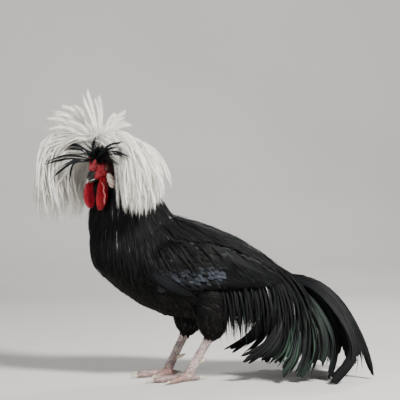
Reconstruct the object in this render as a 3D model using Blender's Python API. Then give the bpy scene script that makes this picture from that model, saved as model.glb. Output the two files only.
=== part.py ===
"""A life-size still model of a white-crested black Polish cock, standing.

The bird faces -X, its left side is at -Y and up is +Z. Sizes are in millimetres
and become metres when a mesh is made. The head is turned towards its left.
"""
import math
import random

import bpy
import numpy as np
from mathutils import Matrix, Vector
from mathutils.bvhtree import BVHTree

# Driving sizes
MM = 0.001
GAP = 0.3  # the clear space that parted pieces keep
SIDES = {"left": -1, "right": 1}  # the sign of Y on each side of the bird

BODY_SIDES = 22  # points round a section of the body
BODY_RINGS = 16
NECK_RINGS = 8
NECK_SIDES = 16
HACKLE_REAR, HACKLE_LOW = -62, 290  # the back rises over the neck's lowest tier here
HACKLE_FILL = 0.86  # share of its place that a hackle's width takes
PARTING_X = 34.0  # the cut between breast and rump

# Body sections: distance back, lowest, highest and half width
BODY = np.array([
    (-186, 207, 260, 21),
    (-178, 194, 273, 37),
    (-160, 168, 284, 51),
    (-135, 145, 288, 60),
    (-100, 121, 288, 67),
    (-60, 103, 283, 70),
    (-20, 97, 273, 69),
    (20, 101, 260, 65),
    (60, 113, 243, 57),
    (95, 128, 221, 46),
    (125, 142, 197, 34),
    (150, 153, 180, 22),
    (160, 159, 174, 13),
], float)

# Neck sections: height, centre x, centre y, half length and half width
NECK = np.array([
    (222, -112, 0, 64, 42),
    (240, -115, 0, 72, 53),
    (258, -118, 0, 75, 57),
    (278, -120, 0, 72, 55),
    (298, -124, -1, 64, 48),
    (316, -129, -3, 53, 39),
    (332, -135, -6, 40, 30),
    (346, -141, -9, 29, 23),
    (357, -147, -12, 20, 17),
    (364, -151, -14, 12, 11),
], float)

# The head: its middle, and how far it turns to the left and down
HEAD_AT = Vector((-163.0, -27.0, 357.0))
HEAD_TURN = math.radians(34)
HEAD_DOWN = math.radians(20)
# Skull sections: distance back, height of the middle, half height, half width
SKULL = np.array([
    (25, 1, 6, 6),
    (19, 1, 13, 13),
    (8, 1, 18, 16.5),
    (-6, 0, 18, 16.5),
    (-17, -2, 14.5, 13),
    (-26, -3.5, 10.5, 9),
    (-30, -4, 8, 7),
], float)
BEAK_TIP = Vector((-45.0, 0.0, -12.5))
EYE_AT = Vector((-8.0, 13.2, 2.5))
EYE_R = 5.0
KNOB_AT = Vector((5.0, 0.0, 23.0))
KNOB_R = 23.0

# Legs: hip, hock and sole for each side, and the way the middle toe points
LEGS = {
    "left": dict(hip=(10, -44, 138), hock=(17, -40, 82), sole=(-27, -37, 7), toe=195),
    "right": dict(hip=(-14, 42, 138), hock=(-15, 36, 82), sole=(-53, 30, 7), toe=206),
}
THIGH_R = 27.0
SHANK_R = 6.8
SCUTES = 10
TOES = (("middle", 0, 60, 5.6), ("inner", -31, 46, 5.2), ("outer", 33, 50, 5.2), ("hind", 176, 22, 5.0))
CLAW = 14.0
SOLE_CUT = 0.0  # the floor
TIP_CLEAR = 3.0  # how far hanging tips stay off the floor

# Crest, by angle from the way the bill points, round towards the bird's left, in degrees
CREST_PARTS = {"crest_left": (30, 160), "crest_back": (160, 238), "crest_right": (238, 390)}
FACE = (-34, 94)  # the opening that low feathers leave for the face
FACE_RISE = 44  # feathers that leave more steeply than this grow over the face too
# Tiers from the rim up: spacing and rise at the root, fall at the tip, length and width
CREST_TIERS = (
    (27, -8, -84, 112, 25),
    (29, 16, -88, 134, 28),
    (33, 38, -82, 140, 30),
    (42, 58, -68, 128, 30),
    (80, 76, -40, 108, 27),
)
CREST_THICK = 1.7
CREST_ROLL = 9  # the tilt of each feather on its neighbour, in degrees
CREST_MARGIN = 4  # how far feathers stay from the edge of their part, in degrees
CREST_CLEAR = 8.0  # how far they stay off the neck and body
CREST_GAP = 0.6  # thin hackles need a wider cut than GAP to part cleanly
FACE_BEND = 58  # how far feathers over the face bend aside, in degrees
WISPS = {"crest_right": ((352, 84, 70, 112), (12, 78, 52, 100))}
WISP_WIDTH = 8.0
PLUME_SHAPE = (0.3, 0.8, 1.0, 0.7)  # share of the width along a crest feather
# Black feathers over the bill: angle, rise, fall, length
WHISKERS = (
    (-44, 12, -34, 84), (-36, -8, -48, 78), (-24, 26, -14, 80), (-18, 2, -40, 66),
    (-4, 38, 4, 66), (4, 14, -64, 56), (14, 50, 22, 48), (30, 34, -10, 44),
    (44, 56, 30, 40), (58, 36, -4, 46), (74, 50, 4, 52), (84, 24, -22, 52),
    (98, 40, -20, 58),
)
WHISKER_WIDTH = 7.0

# Laid plumage
VANE_THICK = 1.3
LANCE = (0.75, 1.0, 0.7)  # share of the width along a pointed hackle
BLADE = (0.6, 1.0, 1.0, 0.8)  # along a rounded wing feather
HACKLE_TIERS = ((330, 9, 56), (306, 12, 60), (281, 14, 58))  # height, count, length

# Meshes
def clear_scene():
    for obj in list(bpy.data.objects):
        bpy.data.objects.remove(obj, do_unlink=True)


def signed_volume(points, faces):
    p = np.asarray(points)
    return sum(np.linalg.det(p[[f[0], f[i], f[i + 1]]]) for f in faces for i in range(1, len(f) - 1))


def solid(name, points, faces, shade=True):
    """A mesh object from points in millimetres, with its faces turned outwards."""
    if signed_volume(points, faces) < 0:
        faces = [tuple(reversed(f)) for f in faces]
    mesh = bpy.data.meshes.new(name)
    mesh.from_pydata([tuple(float(c) * MM for c in p) for p in points], [], faces)
    mesh.update()
    obj = bpy.data.objects.new(name, mesh)
    bpy.context.scene.collection.objects.link(obj)
    if shade:
        mesh.shade_smooth()
    return obj


def loft(name, rings, nose=None, tail=None):
    """A closed surface through rings of equal length, ended by a point or a flat fan."""
    n = len(rings[0])
    points = [p for ring in rings for p in ring]
    faces = []
    for r in range(len(rings) - 1):
        for i in range(n):
            j = (i + 1) % n
            faces.append((r * n + i, r * n + j, (r + 1) * n + j, (r + 1) * n + i))
    for at, ring, forward in ((nose, 0, True), (tail, len(rings) - 1, False)):
        points.append(np.mean(rings[ring], axis=0) if at is None else np.asarray(at, float))
        hub = len(points) - 1
        for i in range(n):
            j = (i + 1) % n
            a, b = ring * n + i, ring * n + j
            faces.append((hub, b, a) if forward else (hub, a, b))
    return solid(name, points, faces)


def oval(centre, across, up, half_across, half_up, n, power=2.0):
    """Points round an oval section in the plane of two directions."""
    centre, across, up = (np.asarray(v, float) for v in (centre, across, up))
    ring = []
    for i in range(n):
        a = 2 * math.pi * i / n
        c, s = math.cos(a), math.sin(a)
        c = math.copysign(abs(c) ** (2 / power), c)
        s = math.copysign(abs(s) ** (2 / power), s)
        ring.append(centre + across * half_across * c + up * half_up * s)
    return ring


def refine(table, rows):
    """A table of sections read at more places along a smooth curve through them."""
    table = np.asarray(table, float)
    at = np.linspace(0, len(table) - 1, rows)
    slope = np.gradient(table, axis=0)
    made = []
    for t in at:
        i = min(int(t), len(table) - 2)
        u = t - i
        a, b = table[i], table[i + 1]
        made.append(
            (2 * u**3 - 3 * u**2 + 1) * a
            + (u**3 - 2 * u**2 + u) * slope[i]
            + (3 * u**2 - 2 * u**3) * b
            + (u**3 - u**2) * slope[i + 1]
        )
    return np.array(made)


def ball(name, centre, r, rings=7, n=12, squash=(1, 1, 1)):
    """A ball or an egg shape."""
    made = []
    for k in range(1, rings):
        a = math.pi * k / rings
        made.append([
            (
                centre[0] + squash[0] * r * math.sin(a) * math.cos(2 * math.pi * i / n),
                centre[1] + squash[1] * r * math.sin(a) * math.sin(2 * math.pi * i / n),
                centre[2] + squash[2] * r * math.cos(a),
            )
            for i in range(n)
        ])
    top = (centre[0], centre[1], centre[2] + squash[2] * r)
    low = (centre[0], centre[1], centre[2] - squash[2] * r)
    return loft(name, made, top, low)


def frames(path, up):
    """Tangent, side and normal at each point of a path, for one normal or one a point."""
    path = np.asarray(path, float)
    ups = np.broadcast_to(np.asarray(up, float), path.shape)
    tangents = np.gradient(path, axis=0)
    tangents /= np.linalg.norm(tangents, axis=1)[:, None]
    side = np.cross(tangents, ups)
    side /= np.linalg.norm(side, axis=1)[:, None]
    return tangents, side, np.cross(side, tangents)


def tube(name, path, radii, n=8, up=(0, 0, 1), flat=1.0, tip=None):
    """A tapering limb along a path. flat narrows it sideways."""
    _, side, normal = frames(path, up)
    rings = [
        oval(p, s, m, r * flat, r, n) for p, s, m, r in zip(path, side, normal, radii)
    ]
    return loft(name, rings, None, tip)


def vane(name, path, up, widths, thick, cup=0.12, roll=0.0):
    """A thin feather with a ridge along its shaft. The last point of the path is its tip.

    Both faces are split into triangles alike, so that they never cross. roll tips it about
    its shaft, as a shingle lies on its neighbour.
    """
    path = np.asarray(path, float)
    _, side, normal = frames(path, up)
    c, s = math.cos(math.radians(roll)), math.sin(math.radians(roll))
    side, normal = side * c + normal * s, normal * c - side * s
    points, faces = [], []
    for p, s, m, w in zip(path[:-1], side, normal, widths):
        points += [
            p - s * w / 2 - m * w * cup,
            p + m * thick / 2,
            p + s * w / 2 - m * w * cup,
            p - m * thick / 2,
        ]
    last = len(path) - 2
    for i in range(last):
        a, b = 4 * i, 4 * (i + 1)
        for left, ridge in ((0, 1), (2, 1), (2, 3), (0, 3)):
            quad = (a + left, b + ridge, a + ridge), (a + left, b + left, b + ridge)
            turn = (left, ridge) in ((0, 1), (2, 3))
            faces += [q if turn else tuple(reversed(q)) for q in quad]
    points.append(path[-1])
    tip = len(points) - 1
    a = 4 * last
    for k in range(4):
        faces.append((tip, a + (k + 1) % 4, a + k))
    faces += [(0, 1, 2), (0, 2, 3)]
    return solid(name, points, faces)


# Joining and parting
def evaluated(obj):
    graph = bpy.context.evaluated_depsgraph_get()
    return bpy.data.meshes.new_from_object(obj.evaluated_get(graph))


def largest_surface(mesh):
    """Leaves only the closed surface that spans the most, and drops the loose rest."""
    count = len(mesh.vertices)
    parent = list(range(count))

    def root(i):
        while parent[i] != i:
            parent[i] = parent[parent[i]]
            i = parent[i]
        return i

    for e in mesh.edges:
        a, b = (root(i) for i in e.vertices)
        if a != b:
            parent[a] = b
    groups = {}
    for i in range(count):
        groups.setdefault(root(i), []).append(i)
    if len(groups) < 2:
        return
    co = np.array([v.co for v in mesh.vertices])
    best = max(groups.values(), key=lambda g: np.ptp(co[g], axis=0).prod())
    keep = set(best)
    index = {old: new for new, old in enumerate(best)}
    polygons = [[index[v] for v in p.vertices] for p in mesh.polygons if p.vertices[0] in keep]
    points = [tuple(co[i]) for i in best]
    mesh.clear_geometry()
    mesh.from_pydata(points, [], polygons)
    mesh.update()


def boolean(obj, others, operation):
    """Joins or cuts obj by a collection of closed meshes, which is then removed."""
    group = bpy.data.collections.new("pieces")
    bpy.context.scene.collection.children.link(group)
    for other in others:
        group.objects.link(other)
        bpy.context.scene.collection.objects.unlink(other)
    step = obj.modifiers.new("pieces", "BOOLEAN")
    step.operation = operation
    step.operand_type = "COLLECTION"
    step.collection = group
    step.solver = "MANIFOLD"
    bpy.context.view_layer.update()
    mesh = evaluated(obj)
    obj.modifiers.clear()
    largest_surface(mesh)
    mesh.shade_smooth()
    mesh.set_sharp_from_angle(angle=math.radians(50))
    obj.data = mesh
    for other in others:
        bpy.data.objects.remove(other, do_unlink=True)
    bpy.data.collections.remove(group)
    return obj


def joined(name, core, pieces):
    made = boolean(core, pieces, "UNION") if pieces else core
    made.name = name
    return made


def grown(obj, by=GAP):
    """A copy whose surface stands out by a distance, to cut its neighbours clear."""
    copy = obj.copy()
    copy.data = obj.data.copy()
    bpy.context.scene.collection.objects.link(copy)
    normals = [v.normal.copy() for v in copy.data.vertices]
    for v, normal in zip(copy.data.vertices, normals):
        v.co += normal * by * MM
    return copy


def clear_of(obj, *neighbours, by=GAP):
    return boolean(obj, [grown(n, by) for n in neighbours], "DIFFERENCE")


def slab(low, high):
    """A box used as a cutter."""
    points = [(x, y, z) for x in (low[0], high[0]) for y in (low[1], high[1]) for z in (low[2], high[2])]
    faces = [(0, 1, 3, 2), (4, 6, 7, 5), (0, 4, 5, 1), (2, 3, 7, 6), (0, 2, 6, 4), (1, 5, 7, 3)]
    return solid("slab", points, faces, shade=False)


def paint(obj, name, colour, roughness, metallic=0.0):
    material = bpy.data.materials.get(name) or bpy.data.materials.new(name)
    material.use_nodes = True
    shader = material.node_tree.nodes["Principled BSDF"]
    shader.inputs["Base Color"].default_value = (*colour, 1)
    shader.inputs["Roughness"].default_value = roughness
    shader.inputs["Metallic"].default_value = metallic
    material.diffuse_color = (*colour, 1)
    obj.data.materials.clear()
    obj.data.materials.append(material)
    return obj


# Surfaces that feathers lie on
def guide_of(*objects):
    """A search tree over several surfaces, in millimetres."""
    points, faces = [], []
    for obj in objects:
        base = len(points)
        points += [v.co / MM for v in obj.data.vertices]
        faces += [[base + v for v in p.vertices] for p in obj.data.polygons]
    return BVHTree.FromPolygons(points, faces)


def surface(guide, point):
    """The nearest point of a guide and the way out of it there."""
    near, normal, _, _ = guide.find_nearest(Vector(point))
    return np.array(near), np.array(normal)


def laid(guide, start, heading, length, steps, lift, sink=2.0, sag=0.0):
    """A path along a guide, sunk in it at the root and lifted from it at the tip.

    sag turns the heading down at each step. Where the guide curves away, the path goes on free.
    """
    near, normal = surface(guide, start)
    path, normals = [near - normal * sink], [normal]
    heading = np.array(heading, float)
    here = near
    for k in range(steps):
        heading = heading + np.array((0, 0, -sag))
        along = heading - normal * min(heading.dot(normal), 0)
        along /= np.linalg.norm(along)
        here = here + along * length / steps
        near, out = surface(guide, here)
        gap = (here - near).dot(out)
        rise = lift * (0.4 + 0.6 * (k + 1) / steps)
        if gap < rise:
            here = here + out * (rise - gap)
            normal = out
        path.append(here)
        normals.append(normal)
    return path, normals


def head_place(local):
    """A point of the head, given forwards, sideways and up from its middle."""
    turn = Matrix.Rotation(HEAD_TURN, 3, "Z") @ Matrix.Rotation(-HEAD_DOWN, 3, "Y")
    return HEAD_AT + turn @ Vector(local)


def head_turned(obj):
    """Moves a mesh modelled in the head's own frame to its place on the bird."""
    for v in obj.data.vertices:
        v.co = head_place(v.co / MM) * MM
    obj.data.update()
    return obj


# Body
def make_body():
    """Breast and rump are one smooth form, parted by a thin cut."""
    rows = refine(BODY, BODY_RINGS)
    rings = [
        oval((x, 0, (low + high) / 2), (0, 1, 0), (0, 0, 1), half, (high - low) / 2, BODY_SIDES, 2.1)
        for x, low, high, half in rows
    ]
    nose = (rows[0][0] - 6, 0, (rows[0][1] + rows[0][2]) / 2)
    tail = (rows[-1][0] + 4, 0, (rows[-1][1] + rows[-1][2]) / 2)
    return loft("torso", rings, nose, tail)


def make_neck(body, head):
    """The neck's core, with tiers of hackles that run down over its foot."""
    rows = refine(NECK, NECK_RINGS)
    rings = [
        oval((x, y, z), (1, 0, 0), (0, 1, 0), length, width, NECK_SIDES)
        for z, x, y, length, width in rows
    ]
    neck = clear_of(loft("neck", rings), body)
    guide = guide_of(neck, body)
    hackles = []
    for row, (height, count, length) in enumerate(HACKLE_TIERS):
        _, x, y, across, wide = (np.interp(height, NECK[:, 0], column) for column in NECK.T)
        for k in range(count):
            a = 2 * math.pi * (k + 0.5 * (row % 2)) / count
            way = np.array((math.cos(a), math.sin(a), 0))
            start = np.array((x, y, height)) + way * (across, wide, 0)
            if start[0] > HACKLE_REAR and height < HACKLE_LOW:
                continue
            width = HACKLE_FILL * math.pi * (across + wide) / count
            heading = way * 0.35 + (0.12, 0, -1)
            path, normals = laid(guide, start, heading, length, 3, 5.5)
            hackles.append(vane("hackle", path, normals, [width * f for f in LANCE], VANE_THICK, 0.05))
    return clear_of(joined("neck", neck, hackles), body, head), guide


# Head
def make_head():
    """Skull and face, with raised lids and the swollen sides of the nostrils."""
    rows = refine(SKULL, 8)
    rings = [oval((x, 0, z), (0, 1, 0), (0, 0, 1), w, h, 14) for x, z, h, w in rows]
    head = loft("head", rings)
    pieces = []
    for side in (-1, 1):
        eye = (EYE_AT.x, side * EYE_AT.y, EYE_AT.z)
        lid = []
        for k in range(10):
            a = 2 * math.pi * k / 10
            centre = np.array((eye[0] + 6.2 * math.cos(a), eye[1] + side * 1.3, eye[2] + 5.2 * math.sin(a)))
            out = np.array((math.cos(a), 0, math.sin(a)))
            lid.append([centre + out * 1.5 * math.cos(b) + np.array((0, 2.4 * math.sin(b), 0)) for b in np.arange(4) * math.pi / 2])
        pieces.append(ring_solid("lid", lid))
    head = joined("head", head, pieces)
    return head_turned(head)


def ring_solid(name, rings):
    """A closed ring: the last section meets the first."""
    n, m = len(rings[0]), len(rings)
    points = [p for ring in rings for p in ring]
    faces = []
    for r in range(m):
        s = (r + 1) % m
        for i in range(n):
            j = (i + 1) % n
            faces.append((r * n + i, r * n + j, s * n + j, s * n + i))
    return solid(name, points, faces)


def make_eye(side):
    eye = ball("eye", (EYE_AT.x, side * EYE_AT.y, EYE_AT.z), EYE_R, 6, 12)
    return head_turned(eye)


def make_beak(head):
    """Upper and lower bill, parted along the line of the mouth."""
    upper = np.array([(-22, -1, 7.5, 8.2), (-28, -1.5, 7.4, 7.6), (-34, -3.5, 5.8, 5.8), (-39.5, -6, 4.2, 4.0), (-43.5, -9, 2.4, 2.2)])
    rings = [oval((x, 0, z), (0, 1, 0), (0, 0, 1), w, h, 12) for x, z, h, w in refine(upper, 7)]
    top = loft("beak_upper", rings, None, tuple(BEAK_TIP))
    nostrils = [ball("nostril", (-28, s * 5.6, 0.6), 3.6, 5, 8, (1.25, 0.8, 0.9)) for s in (-1, 1)]
    top = boolean(top, nostrils, "UNION")
    holes = [ball("hole", (-29.5, s * 8.6, 0.4), 1.5, 4, 6, (1.5, 1.6, 0.7)) for s in (-1, 1)]
    top = boolean(top, holes, "DIFFERENCE")
    lower = np.array([(-20, -10, 4.6, 7.6), (-27, -10.4, 4.0, 6.4), (-33, -11.2, 3.0, 4.6), (-38, -12.0, 2.0, 3.0)])
    rings = [oval((x, 0, z), (0, 1, 0), (0, 0, 1), w, h, 10) for x, z, h, w in refine(lower, 5)]
    low = loft("beak_lower", rings, None, (-40.5, 0, -12.6))
    for obj in (top, low):
        head_turned(obj)
    clear_of(top, head)
    clear_of(low, head, top)
    return top, low


def make_comb(*neighbours):
    """The small V comb: two short horns on a knobbly red base behind the bill."""
    base = ball("comb", (-21, 0, 10.5), 7.5, 6, 10, (1.15, 0.95, 0.75))
    horns = []
    for side in (-1, 1):
        path = [(-22, side * 3, 9), (-21.5, side * 5, 15), (-20, side * 7, 20), (-18, side * 8.4, 24)]
        horns.append(tube("horn", path, (4.4, 3.8, 2.7, 1.5), 6, (1, 0, 0), 0.85, (-17.2, side * 9, 25.5)))
        for x, y, z, r in ((-27, 3.5, 6.5, 3.2), (-17, 7.5, 8.5, 3.4)):
            horns.append(ball("bulb", (x, side * y, z), r, 4, 6))
    return clear_of(head_turned(joined("comb", base, horns)), *neighbours, by=0.6)


WATTLES = {  # root, lower end, half width and the way it flares
    "left": dict(root=(-168, -42, 343), low=(-173, -49, 285), width=14.0, out=(0.56, -0.83, 0)),
    "right": dict(root=(-186, -32, 340), low=(-188, -34, 289), width=14.0, out=(-0.80, 0.30, 0)),
}
WATTLE_THICK = 3.4


def make_wattle(name, *neighbours):
    """A hanging flap, thin at its rim, with a fold down its length."""
    w = WATTLES[name]
    root, low = np.array(w["root"], float), np.array(w["low"], float)
    out = np.array(w["out"], float)
    along = np.array((-math.cos(HEAD_TURN), -math.sin(HEAD_TURN), 0))
    rings = []
    for t in np.linspace(0.04, 0.96, 8):
        half = w["width"] * math.sin(math.pi * min(0.14 + 0.86 * t, 1)) ** 0.55 * (0.62 + 0.5 * t)
        half = max(half, 2.2)
        centre = root + (low - root) * t + out * 4 * math.sin(math.pi * t)
        ring = []
        for k in range(12):
            a = 2 * math.pi * k / 12
            c, s = math.cos(a), math.sin(a)
            fold = 1.5 * math.cos(3 * c) * math.sin(math.pi * t)
            ring.append(centre + along * half * c + out * (WATTLE_THICK * s + fold))
        rings.append(ring)
    flap = loft("wattle_" + name, rings, root, low)
    return clear_of(flap, *neighbours)


def make_earlobe(name, *neighbours):
    side = SIDES[name]
    lobe = ball("earlobe_" + name, (-7, side * 14.5, -20), 7.5, 7, 10, (0.8, 0.5, 1.7))
    return clear_of(head_turned(lobe), *neighbours)


# Crest
def crest_frame():
    """The middle of the crest's knob, and the level ways forwards and to the left."""
    middle = np.array(head_place(KNOB_AT))
    forward = np.array((-math.cos(HEAD_TURN), -math.sin(HEAD_TURN), 0))
    left = np.array((math.sin(HEAD_TURN), -math.cos(HEAD_TURN), 0))
    return middle, forward, left


def crest_way(angle, rise):
    """The way that a crest feather points, from its angle round the head and its rise."""
    _, forward, left = crest_frame()
    level = forward * math.cos(angle) + left * math.sin(angle)
    return level * math.cos(rise) + np.array((0, 0, math.sin(rise)))


def plume(start, angle, rise, fall, length, steps, guide, bend=0.0):
    """A crest feather that leaves at a rise, bends down to a fall and stays off the neck."""
    path, ups = [np.array(start, float)], []
    for k in range(steps + 1):
        t = k / steps
        tilt = math.radians(rise + (fall - rise) * t ** 0.75)
        turn = math.radians(angle + bend * t)
        ups.append(crest_way(turn, tilt + math.pi / 2))
        if k == steps:
            break
        here = path[-1] + crest_way(turn, tilt) * length / steps
        near, out = surface(guide, here)
        gap = (here - near).dot(out)
        if gap < CREST_CLEAR:
            here = here + out * (CREST_CLEAR - gap)
        path.append(here)
    return path, ups


def make_crest_front(guide, *neighbours):
    """The dark feathers that spray out over the bill from a small root of their own."""
    middle, _, _ = crest_frame()
    middle = middle + crest_way(math.radians(30), math.radians(-20)) * 14
    root = ball("crest_front", middle, 10, 6, 12)
    pieces = []
    for angle, rise, fall, length in WHISKERS:
        start = middle + crest_way(math.radians(angle), math.radians(rise)) * 6
        path, ups = plume(start, angle, rise, fall, length, 3, guide)
        widths = [WHISKER_WIDTH * f for f in (0.5, 1, 0.7)]
        pieces.append(vane("whisker", path, ups, widths, CREST_THICK, 0.1))
    return clear_of(joined("crest_front", root, pieces), *neighbours)


def sector_cutters(first, last):
    """Two boxes that leave only one sector round the head."""
    middle, _, _ = crest_frame()
    size = 260.0
    cutters = []
    for edge, turn in ((first, 1), (last, -1)):
        way = crest_way(math.radians(edge), 0)
        aside = crest_way(math.radians(edge + 90 * turn), 0)
        box = slab((-size, -size, -size), (size, GAP / 2, size))
        frame = Matrix((
            (way[0], aside[0], 0, middle[0]),
            (way[1], aside[1], 0, middle[1]),
            (0, 0, 1, middle[2]),
            (0, 0, 0, 1),
        ))
        for v in box.data.vertices:
            v.co = (frame @ (v.co / MM)) * MM
        if turn < 0:
            box.data.flip_normals()
        cutters.append(box)
    return cutters


def crest_roots(first, last):
    """Angle, rise, fall, length and width of each white feather of a part of the crest."""
    roots = []
    for tier, (spacing, rise, fall, length, width) in enumerate(CREST_TIERS):
        count = round(360 / spacing)
        for k in range(count):
            angle = first - first % 360 + 360 * (k + 0.5 * (tier % 2)) / count
            for turn in (0, 360):
                if not first + CREST_MARGIN < angle + turn < last - CREST_MARGIN:
                    continue
                ahead = (angle + turn + 180) % 360 - 180
                if rise < FACE_RISE and FACE[0] < ahead < FACE[1]:
                    continue
                roots.append((angle + turn, rise, fall, length, width))
    return roots


def make_crest(name, guide, *neighbours):
    """A sector of the crest: its share of the knob, with feathers that arch over and fall."""
    first, last = CREST_PARTS[name]
    middle, _, _ = crest_frame()
    knob = ball("knob", middle, KNOB_R, 7, 16, (1, 1, 0.86))
    pieces = []
    for angle, rise, fall, length, width in crest_roots(first, last):
        ahead = (angle + 180) % 360 - 180
        bend = 0
        if FACE[0] < ahead < FACE[1]:
            bend = math.copysign(FACE_BEND, ahead - 30)
            fall = fall * 0.7
        rise = rise + random.uniform(-5, 5)
        length = length * random.uniform(0.86, 1.08)
        start = middle + crest_way(math.radians(angle), math.radians(rise)) * KNOB_R * 0.72
        path, ups = plume(start, angle, rise, fall + random.uniform(-8, 8), length, 4, guide, bend)
        pieces.append(vane("plume", path, ups, [width * f for f in PLUME_SHAPE], CREST_THICK, 0.08, CREST_ROLL))
    for angle, rise, fall, length in WISPS.get(name, ()):
        start = middle + crest_way(math.radians(angle), math.radians(rise)) * KNOB_R * 0.6
        path, ups = plume(start, angle, rise, fall, length, 4, guide)
        pieces.append(vane("wisp", path, ups, [WISP_WIDTH * f for f in PLUME_SHAPE], CREST_THICK, 0.1))
    crest = joined(name, knob, pieces)
    boolean(crest, sector_cutters(first, last), "DIFFERENCE")
    return clear_of(crest, *neighbours, by=CREST_GAP)


# Wings
# Wing sections: distance back, lowest, highest, how far out its middle is, half thickness
WING = np.array([
    (-100, 172, 196, 55, 8),
    (-90, 163, 214, 60, 12),
    (-70, 157, 229, 64, 14),
    (-40, 154, 238, 67, 14),
    (0, 153, 236, 66, 13),
    (40, 152, 224, 60, 12),
    (80, 151, 205, 51, 9),
    (110, 150, 186, 43, 6),
    (134, 150, 164, 37, 3.5),
], float)


# Rows of wing feathers: where the first and last start and end, as distance back and height
WING_ROWS = {
    "primaries": dict(count=4, first=((10, 158), (146, 152)), last=((6, 180), (140, 166)), width=12),
    "secondaries": dict(count=4, first=((2, 190), (128, 176)), last=((-4, 222), (96, 202)), width=14),
    "coverts": dict(count=5, first=((-66, 164), (4, 159)), last=((-46, 224), (16, 218)), width=17),
}
WING_LIFT = {"primaries": 2.0, "secondaries": 2.6, "coverts": 4.2}
WING_ROLL = 10
ALULA = ((-92, 176), (-24, 148))  # the smooth feather at the bend of the wing
ALULA_WIDTH = 20.0


def wing_point(side, x, z):
    """A point outside the wing at a distance back and a height."""
    return np.array((x, side * (np.interp(x, WING[:, 0], WING[:, 3]) + 14), z))


def make_wing(name, *neighbours):
    """A folded wing with its flight feathers and coverts as vanes laid over each other."""
    side = SIDES[name]
    rings = [
        oval((x, side * out, (low + high) / 2), (0, side, 0), (0, 0, 1), thick, (high - low) / 2, 14, 2.3)
        for x, low, high, out, thick in refine(WING, 10)
    ]
    wing = loft("wing_" + name, rings, None, (138, side * 36, 156))
    guide = guide_of(wing)
    feathers = []
    for row, r in WING_ROWS.items():
        for k in range(r["count"]):
            t = k / (r["count"] - 1)
            start, end = (
                wing_point(side, *(np.array(r["first"][i]) * (1 - t) + np.array(r["last"][i]) * t)) for i in (0, 1)
            )
            length = np.linalg.norm(end - start)
            path, normals = laid(guide, start, end - start, length, 4, WING_LIFT[row], 1.6)
            widths = [r["width"] * f for f in BLADE]
            feathers.append(vane(row, path, normals, widths, VANE_THICK, 0.04, WING_ROLL * -side))
    start, end = (wing_point(side, *p) for p in ALULA)
    path, normals = laid(guide, start, end - start, np.linalg.norm(end - start), 4, 6.5, 1.6)
    feathers.append(vane("alula", path, normals, [ALULA_WIDTH * f for f in BLADE], 1.8, 0.08))
    return clear_of(joined("wing_" + name, wing, feathers), *neighbours)


# Saddle
SADDLE_ROWS = (  # how far out it starts, how many, first and last distance back, length
    (0.22, 4, 46, 104, 84),
    (0.56, 4, 52, 122, 116),
    (0.86, 3, 84, 130, 110),
)
SADDLE_WIDTH = 12.0
SADDLE_LIFT = 7.0


def make_rump(rump, wings, *neighbours):
    """The rear of the body, with saddle hackles that fall over the wings and hang free."""
    guide = guide_of(rump, *wings)
    feathers = []
    for side in SIDES.values():
        for out, count, first, last, length in SADDLE_ROWS:
            for k in range(count):
                x = first + (last - first) * (k + random.uniform(-0.2, 0.2)) / (count - 1)
                low, high, half = (np.interp(x, BODY[:, 0], BODY[:, c]) for c in (1, 2, 3))
                start = np.array((x, side * half * out, (low + high) / 2 + (high - low) / 2 * math.sqrt(1 - out * out)))
                heading = (1.0 - 0.35 * out, side * (0.5 + 0.5 * out), -0.3 - 0.4 * out)
                path, normals = laid(guide, start, heading, length * random.uniform(0.9, 1.08), 5, SADDLE_LIFT, 2.0, 0.16)
                widths = [SADDLE_WIDTH * f for f in (0.6, 1, 1, 0.8, 0.55)]
                feathers.append(vane("saddle", path, normals, widths, VANE_THICK, 0.05))
    return clear_of(joined("rump", rump, feathers), *neighbours)


# Tail
TAIL_ROOT = [(150, 0, 166), (163, 0, 167), (178, 0, 163), (190, 0, 156)]
MAIN_TAIL = ((260, 7, 84), (252, 16, 58), (236, 24, 38))  # where the main feathers on one side end
MAIN_WIDTH = 26.0
SICKLES = (  # the way of each sickle on one side of the tail, and its width
    (((150, 17, 173), (194, 33, 163), (234, 44, 128), (265, 54, 72), (285, 62, 11)), 27),
    (((150, 19, 173), (187, 42, 160), (214, 60, 128), (234, 74, 88), (236, 82, 50)), 24),
    (((148, 19, 170), (194, 54, 150), (232, 86, 98), (240, 104, 48), (203, 112, 3)), 27),
    (((148, 16, 164), (186, 40, 140), (213, 56, 95), (220, 66, 50), (209, 70, 10)), 26),
    (((146, 20, 166), (168, 52, 142), (188, 76, 108), (196, 90, 68), (188, 96, 36)), 24),
    (((144, 18, 161), (165, 48, 128), (174, 68, 86), (170, 80, 44), (155, 86, 11)), 24),
    (((140, 19, 162), (152, 50, 126), (154, 72, 86), (146, 84, 44), (127, 88, 15)), 23),
    (((137, 20, 164), (136, 50, 130), (124, 70, 102), (99, 78, 76), (62, 76, 55)), 20),
)
SICKLE_SHAPE = (0.45, 0.8, 1.0, 1.0, 0.95, 0.8)


def make_tail(*neighbours):
    """The stub of the tail and its main feathers, which fold like a narrow roof."""
    root = tube("tail", TAIL_ROOT, (12, 13, 11, 7), 12, (0, 0, 1), 0.8)
    feathers = []
    for side in SIDES.values():
        for k, end in enumerate(MAIN_TAIL):
            way = [(158, side * (3 + 2 * k), 168 - 4 * k), (205, side * (4 + 4 * k), 142 - 10 * k), (end[0], side * end[1], end[2])]
            widths = [MAIN_WIDTH * f for f in (0.4, 0.85, 1.0, 0.8)]
            feathers.append(vane("main", refine(way, 5), (0.1, side, 0.35), widths, 1.6, 0.06))
    return clear_of(joined("tail", root, feathers), *neighbours)


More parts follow.
